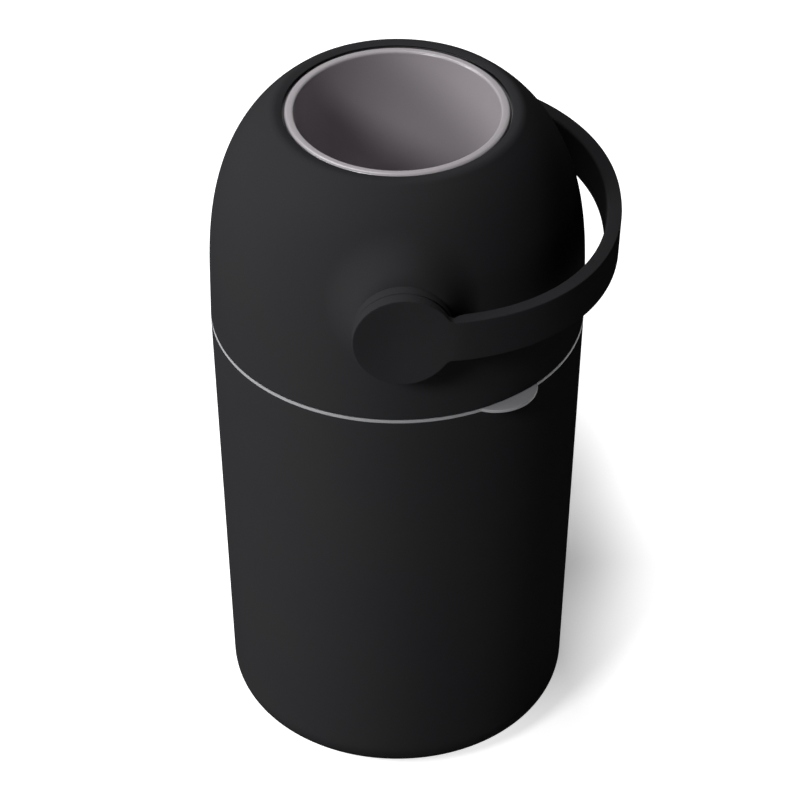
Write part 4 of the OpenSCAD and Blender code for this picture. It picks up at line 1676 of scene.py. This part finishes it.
@dataclass(frozen=True)
class Screw:
    """Pan-head screw with its bearing face at the origin and its point along +Z."""

    shank_r: float
    length: float
    head_r: float
    head_h: float
    pitch: float = 1.3
    thread: float = 0.35
    edge: float = 0.2
    tip_edge: float = 0.5

    def mesh(self, shop: Workshop, material: Material) -> Mesh:
        """Builds the screw.

        Args:
            shop: Trees that turn and thread it.
            material: Its finish.

        Returns:
            Its mesh.
        """
        core, tip = self.shank_r - self.thread, self.shank_r
        crown_r, point_r = self.head_r - self.head_h / 3, core / 3
        corners = [
            Corner(0, -self.head_h),
            Corner(crown_r, -self.head_h, self.head_h / 2),
            Corner(self.head_r, 0, self.edge),
            Corner(core, 0, self.edge),
            Corner(core, self.length - tip, self.tip_edge),
            Corner(point_r, self.length, self.edge),
            Corner(0, self.length),
        ]
        body = shop.turn("screw_body", corners, material, segments=SMALL_SEGMENTS)
        sizes = {
            "Core Radius": core * MM,
            "Thread Depth": self.thread * MM,
            "Pitch": self.pitch * MM,
            "Thread Length": (self.length - tip) * MM,
            "Head Height": self.head_h * MM,
            "Recess Width": self.shank_r / 2 * MM,
            "Material": material,
        }
        return close_up(shop.run(body, shop.screw, sizes, "screw"))

    def ring_radius(self, box: Extent, count: int) -> float:
        """Radius of a ring of so many of these screws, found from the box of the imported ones."""
        furthest = max(math.cos((i + 0.5) * math.tau / count) for i in range(count))
        return (box.high.x - self.head_r) / furthest


@dataclass
class Fasteners(Assembly):
    """All screws of the bin."""

    pivot_z: float
    small: Screw = Screw(2.0, 14.0, 4.0, 2.4)
    short: Screw = Screw(2.0, 9.0, 4.0, 2.4)
    large: Screw = Screw(2.5, 15.0, 5.0, 3.0, pitch=1.6)
    in_lid: int = 6
    in_cup: int = 4
    in_flange: int = 3

    def build(self) -> None:
        """Builds the four groups of screws."""
        self._upright("lid_floor_screws", self.small, self.in_lid, Body.LID, "lid_screws")
        self._upright("cup_base_screws", self.small, self.in_cup, Body.CUP, "cup_screws")
        flange_ring = -Extent.of("axle_screws").low.x - self.short.head_r
        self._across("axle_flange_screws", self.short, self.in_flange, flange_ring, "axle_screws")
        self._across("handle_spigot_screws", self.large, 1, 0.0, "handle_screws")

    def _ring(self, name: str, screw: Screw, count: int, radius: float) -> Mesh:
        """Ring of screws about the upright axis, with their points upwards."""
        finish = self.finishes.screw
        return self.shop.repeat(name, screw.mesh(self.shop, finish), count, radius, finish)

    def _upright(self, name: str, screw: Screw, count: int, body: Body, node: str) -> None:
        """Builds a ring of screws that point upwards.

        Args:
            name: Name of the piece.
            screw: The screw.
            count: How many there are.
            body: Body that they ride on.
            node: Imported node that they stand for.
        """
        box = Extent.of(node)
        mesh = self._ring(name, screw, count, screw.ring_radius(box, count))
        mesh.transform(Matrix.Translation((0, 0, (box.low.z + screw.head_h) * MM)))
        fit_piece(name, close_up(mesh), body, Slot.SCREW, node)

    def _across(self, name: str, screw: Screw, count: int, radius: float, node: str) -> None:
        """Builds the screws of both hubs, which point outwards along the turning axis.

        Args:
            name: Name of the piece.
            screw: The screw.
            count: How many each hub has.
            radius: Radius of their ring.
            node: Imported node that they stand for.
        """
        seat = Extent.of(node).high.y - screw.length
        meshes = []
        for hub in Hub:
            mesh = self._ring(name, screw, count, radius)
            mesh.transform(Matrix.Rotation(-hub.value * math.pi / 2, 4, "X"))
            mesh.transform(Matrix.Translation((0, hub.value * seat * MM, self.pivot_z * MM)))
            meshes.append(close_up(mesh))
        fit_piece(name, joined(name, meshes, self.finishes.screw), Body.CUP, Slot.SCREW, node)


def dress_nodes(finishes: Finishes) -> None:
    """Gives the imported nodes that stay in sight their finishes.

    Args:
        finishes: The bin's finishes.
    """
    by_slot = {slot.value: getattr(finishes, slot.name.lower()) for slot in Slot}
    for node in bpy.data.objects:
        for place in node.material_slots if node.type == "MESH" else ():
            if place.material and place.material.name in by_slot:
                place.material = by_slot[place.material.name]


@dataclass(frozen=True)
class SoftLamp:
    """Round soft lamp that looks at the object, placed as seen from it."""

    name: str
    turn: float
    rise: float
    away_m: float
    width_m: float
    level: float

    def hang(self, aim: Vector, camera: Vector) -> None:
        """Hangs the lamp.

        Args:
            aim: Place that it looks at.
            camera: Place of the camera, which the lamp's turn to the left counts from.
        """
        data = bpy.data.lights.new(self.name, "AREA")
        data.shape, data.size = "DISK", self.width_m
        # At a level of 1 a matte face that looks at the lamp shows its own colour
        data.energy = math.pi**2 * self.away_m**2 * self.level
        flat = camera.xy.normalized()
        flat.rotate(Matrix.Rotation(math.radians(-self.turn), 2))
        rise = math.radians(self.rise)
        towards = Vector((flat.x * math.cos(rise), flat.y * math.cos(rise), math.sin(rise)))
        lamp = bpy.data.objects.new(self.name, data)
        lamp.location = aim + towards * self.away_m
        lamp.rotation_euler = (-towards).to_track_quat("-Z", "Y").to_euler()
        bpy.context.scene.collection.objects.link(lamp)


@dataclass
class Studio:
    """Camera, floor and soft lamps."""

    camera_place_m: tuple[float, float, float] = (-0.0939, -3.1638, 2.7086)
    camera_aim_m: tuple[float, float, float] = (0.0, 0.0, 0.26363)
    lens_mm: float = 233.4
    sensor_mm: float = 36.0
    shift: float = 0.0095
    view_end_m: float = 100.0
    floor_half_m: float = 12.0
    lamps: tuple[SoftLamp, ...] = (
        SoftLamp("side_key", 80.0, 24.0, 3.2, 1.4, 0.55),
        SoftLamp("front_key", 37.0, 37.0, 3.2, 0.8, 0.44),
        SoftLamp("high_back", 150.0, 62.0, 2.6, 1.2, 0.36),
    )
    fill_level: float = 0.02
    floor_bounce: float = 0.38
    floor_white: float = 0.92
    # Painted shadow: the floor's glow is lowest round a middle point behind and right of the object and eases
    # up to white away from it, so the floor there is darker whatever light falls on it
    floor_glow: tuple[float, float] = (0.06, 0.78)
    shadow_middle_m: tuple[float, float, float] = (0.1, 0.18, 0.0)
    shadow_shape: tuple[float, float, float] = (1.0, 0.45, 1.0)
    shadow_reach_m: tuple[float, float] = (0.03, 0.13)

    def camera(self) -> None:
        """Sets the photograph's view."""
        data = bpy.data.cameras.new("photo_view")
        data.lens, data.sensor_width = self.lens_mm, self.sensor_mm
        data.shift_x = self.shift
        data.clip_end = self.view_end_m
        camera = bpy.data.objects.new("photo_view", data)
        place = Vector(self.camera_place_m)
        camera.location = place
        camera.rotation_euler = (Vector(self.camera_aim_m) - place).to_track_quat("-Z", "Y").to_euler()
        bpy.context.scene.collection.objects.link(camera)
        bpy.context.scene.camera = camera

    @staticmethod
    def _seen(tree: NodeTree) -> Node:
        """Tells rays that show the background from rays that light the object.

        Args:
            tree: Tree that needs the answer.

        Returns:
            A node that gives 1 for camera, glossy and transmission rays.
        """
        path = add_node(tree, "ShaderNodeLightPath").outputs
        seen = path["Is Camera Ray"]
        for ray in ("Is Glossy Ray", "Is Transmission Ray"):
            seen = add_node(tree, "ShaderNodeMath", {0: seen, 1: path[ray]}, operation="MAXIMUM")
        return seen

    def surroundings(self) -> None:
        """Fills the studio with low even light behind a white background."""
        world = bpy.data.worlds.new("studio")
        world.use_nodes = True
        tree = world.node_tree
        levels = {"Factor": self._seen(tree), NUMBER_A: self.fill_level, NUMBER_B: 1.0}
        strength = add_node(tree, "ShaderNodeMix", levels, data_type="FLOAT")
        background = tree.nodes["Background"]
        background.inputs["Color"].default_value = (1.0, 1.0, 1.0, 1.0)
        tree.links.new(strength.outputs[0], background.inputs["Strength"])
        bpy.context.scene.world = world

    def floor(self) -> None:
        """Lays a white floor that keeps the object's shadow and adds a painted shadow behind and right of it,
        where its glow is lowered, clearing to white away from it.
        """
        half = self.floor_half_m
        mesh = bpy.data.meshes.new("studio_floor")
        corners = (-half, -half, 0), (half, -half, 0), (half, half, 0), (-half, half, 0)
        mesh.from_pydata(corners, [], [(0, 1, 2, 3)])
        material = bpy.data.materials.new("white_floor")
        material.use_nodes = True
        tree = material.node_tree
        tree.nodes.remove(tree.nodes["Principled BSDF"])
        seen = self._seen(tree)
        levels = {"Factor": seen, NUMBER_A: self.floor_bounce, NUMBER_B: self.floor_white}
        white = add_node(tree, "ShaderNodeMix", levels, data_type="FLOAT")
        colour = add_node(tree, "ShaderNodeCombineColor", {"Red": white, "Green": white, "Blue": white})
        matte = add_node(tree, "ShaderNodeBsdfDiffuse", {"Color": colour})
        place = add_node(tree, "ShaderNodeTexCoord").outputs["Object"]
        vector = "ShaderNodeVectorMath"
        # Painted shadow: lower glow round the middle point darkens the floor there, on top of the lamps' real
        # shadows
        apart = add_node(tree, vector, {0: place, 1: self.shadow_middle_m}, operation="SUBTRACT")
        shaped = add_node(tree, vector, {0: apart, 1: self.shadow_shape}, operation="MULTIPLY")
        away = add_node(tree, vector, {0: shaped}, operation="LENGTH").outputs["Value"]
        (near, far), (least, most) = self.shadow_reach_m, self.floor_glow
        ramp = {"Value": away, "From Min": near, "From Max": far, "To Min": least, "To Max": most}
        clear = add_node(tree, "ShaderNodeMapRange", ramp, interpolation_type="SMOOTHSTEP")
        glow = add_node(tree, "ShaderNodeMath", {0: seen, 1: clear}, operation="MULTIPLY")
        light = add_node(tree, "ShaderNodeEmission", {"Strength": glow})
        both = add_node(tree, "ShaderNodeAddShader", {0: matte, 1: light})
        tree.links.new(both.outputs[0], tree.nodes["Material Output"].inputs["Surface"])
        mesh.materials.append(material)
        new_object("studio_floor", mesh)

    def set_up(self) -> None:
        """Sets the camera, the lamps, the world and the floor."""
        bpy.context.scene.view_settings.view_transform = "Standard"
        self.camera()
        for lamp in self.lamps:
            lamp.hang(Vector(self.camera_aim_m), Vector(self.camera_place_m))
        self.surroundings()
        self.floor()


def main() -> None:
    """Builds the scene."""
    LOG.setLevel(logging.INFO)
    LOG.addHandler(logging.StreamHandler(sys.stdout))
    for leftover in list(bpy.data.objects):
        bpy.data.objects.remove(leftover)
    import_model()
    Studio().set_up()
    shop, finishes = Workshop(), Finishes.mixed()
    Base(shop, finishes).build()
    BagClamp(shop, finishes).build()
    dome = DomeShell(shop, finishes)
    dome.build()
    Cup(shop, finishes).build()
    SwingHandle(shop, finishes, dome.pivot_z).build()
    Fasteners(shop, finishes, dome.pivot_z).build()
    dress_nodes(finishes)
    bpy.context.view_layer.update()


if __name__ == "__main__":
    main()
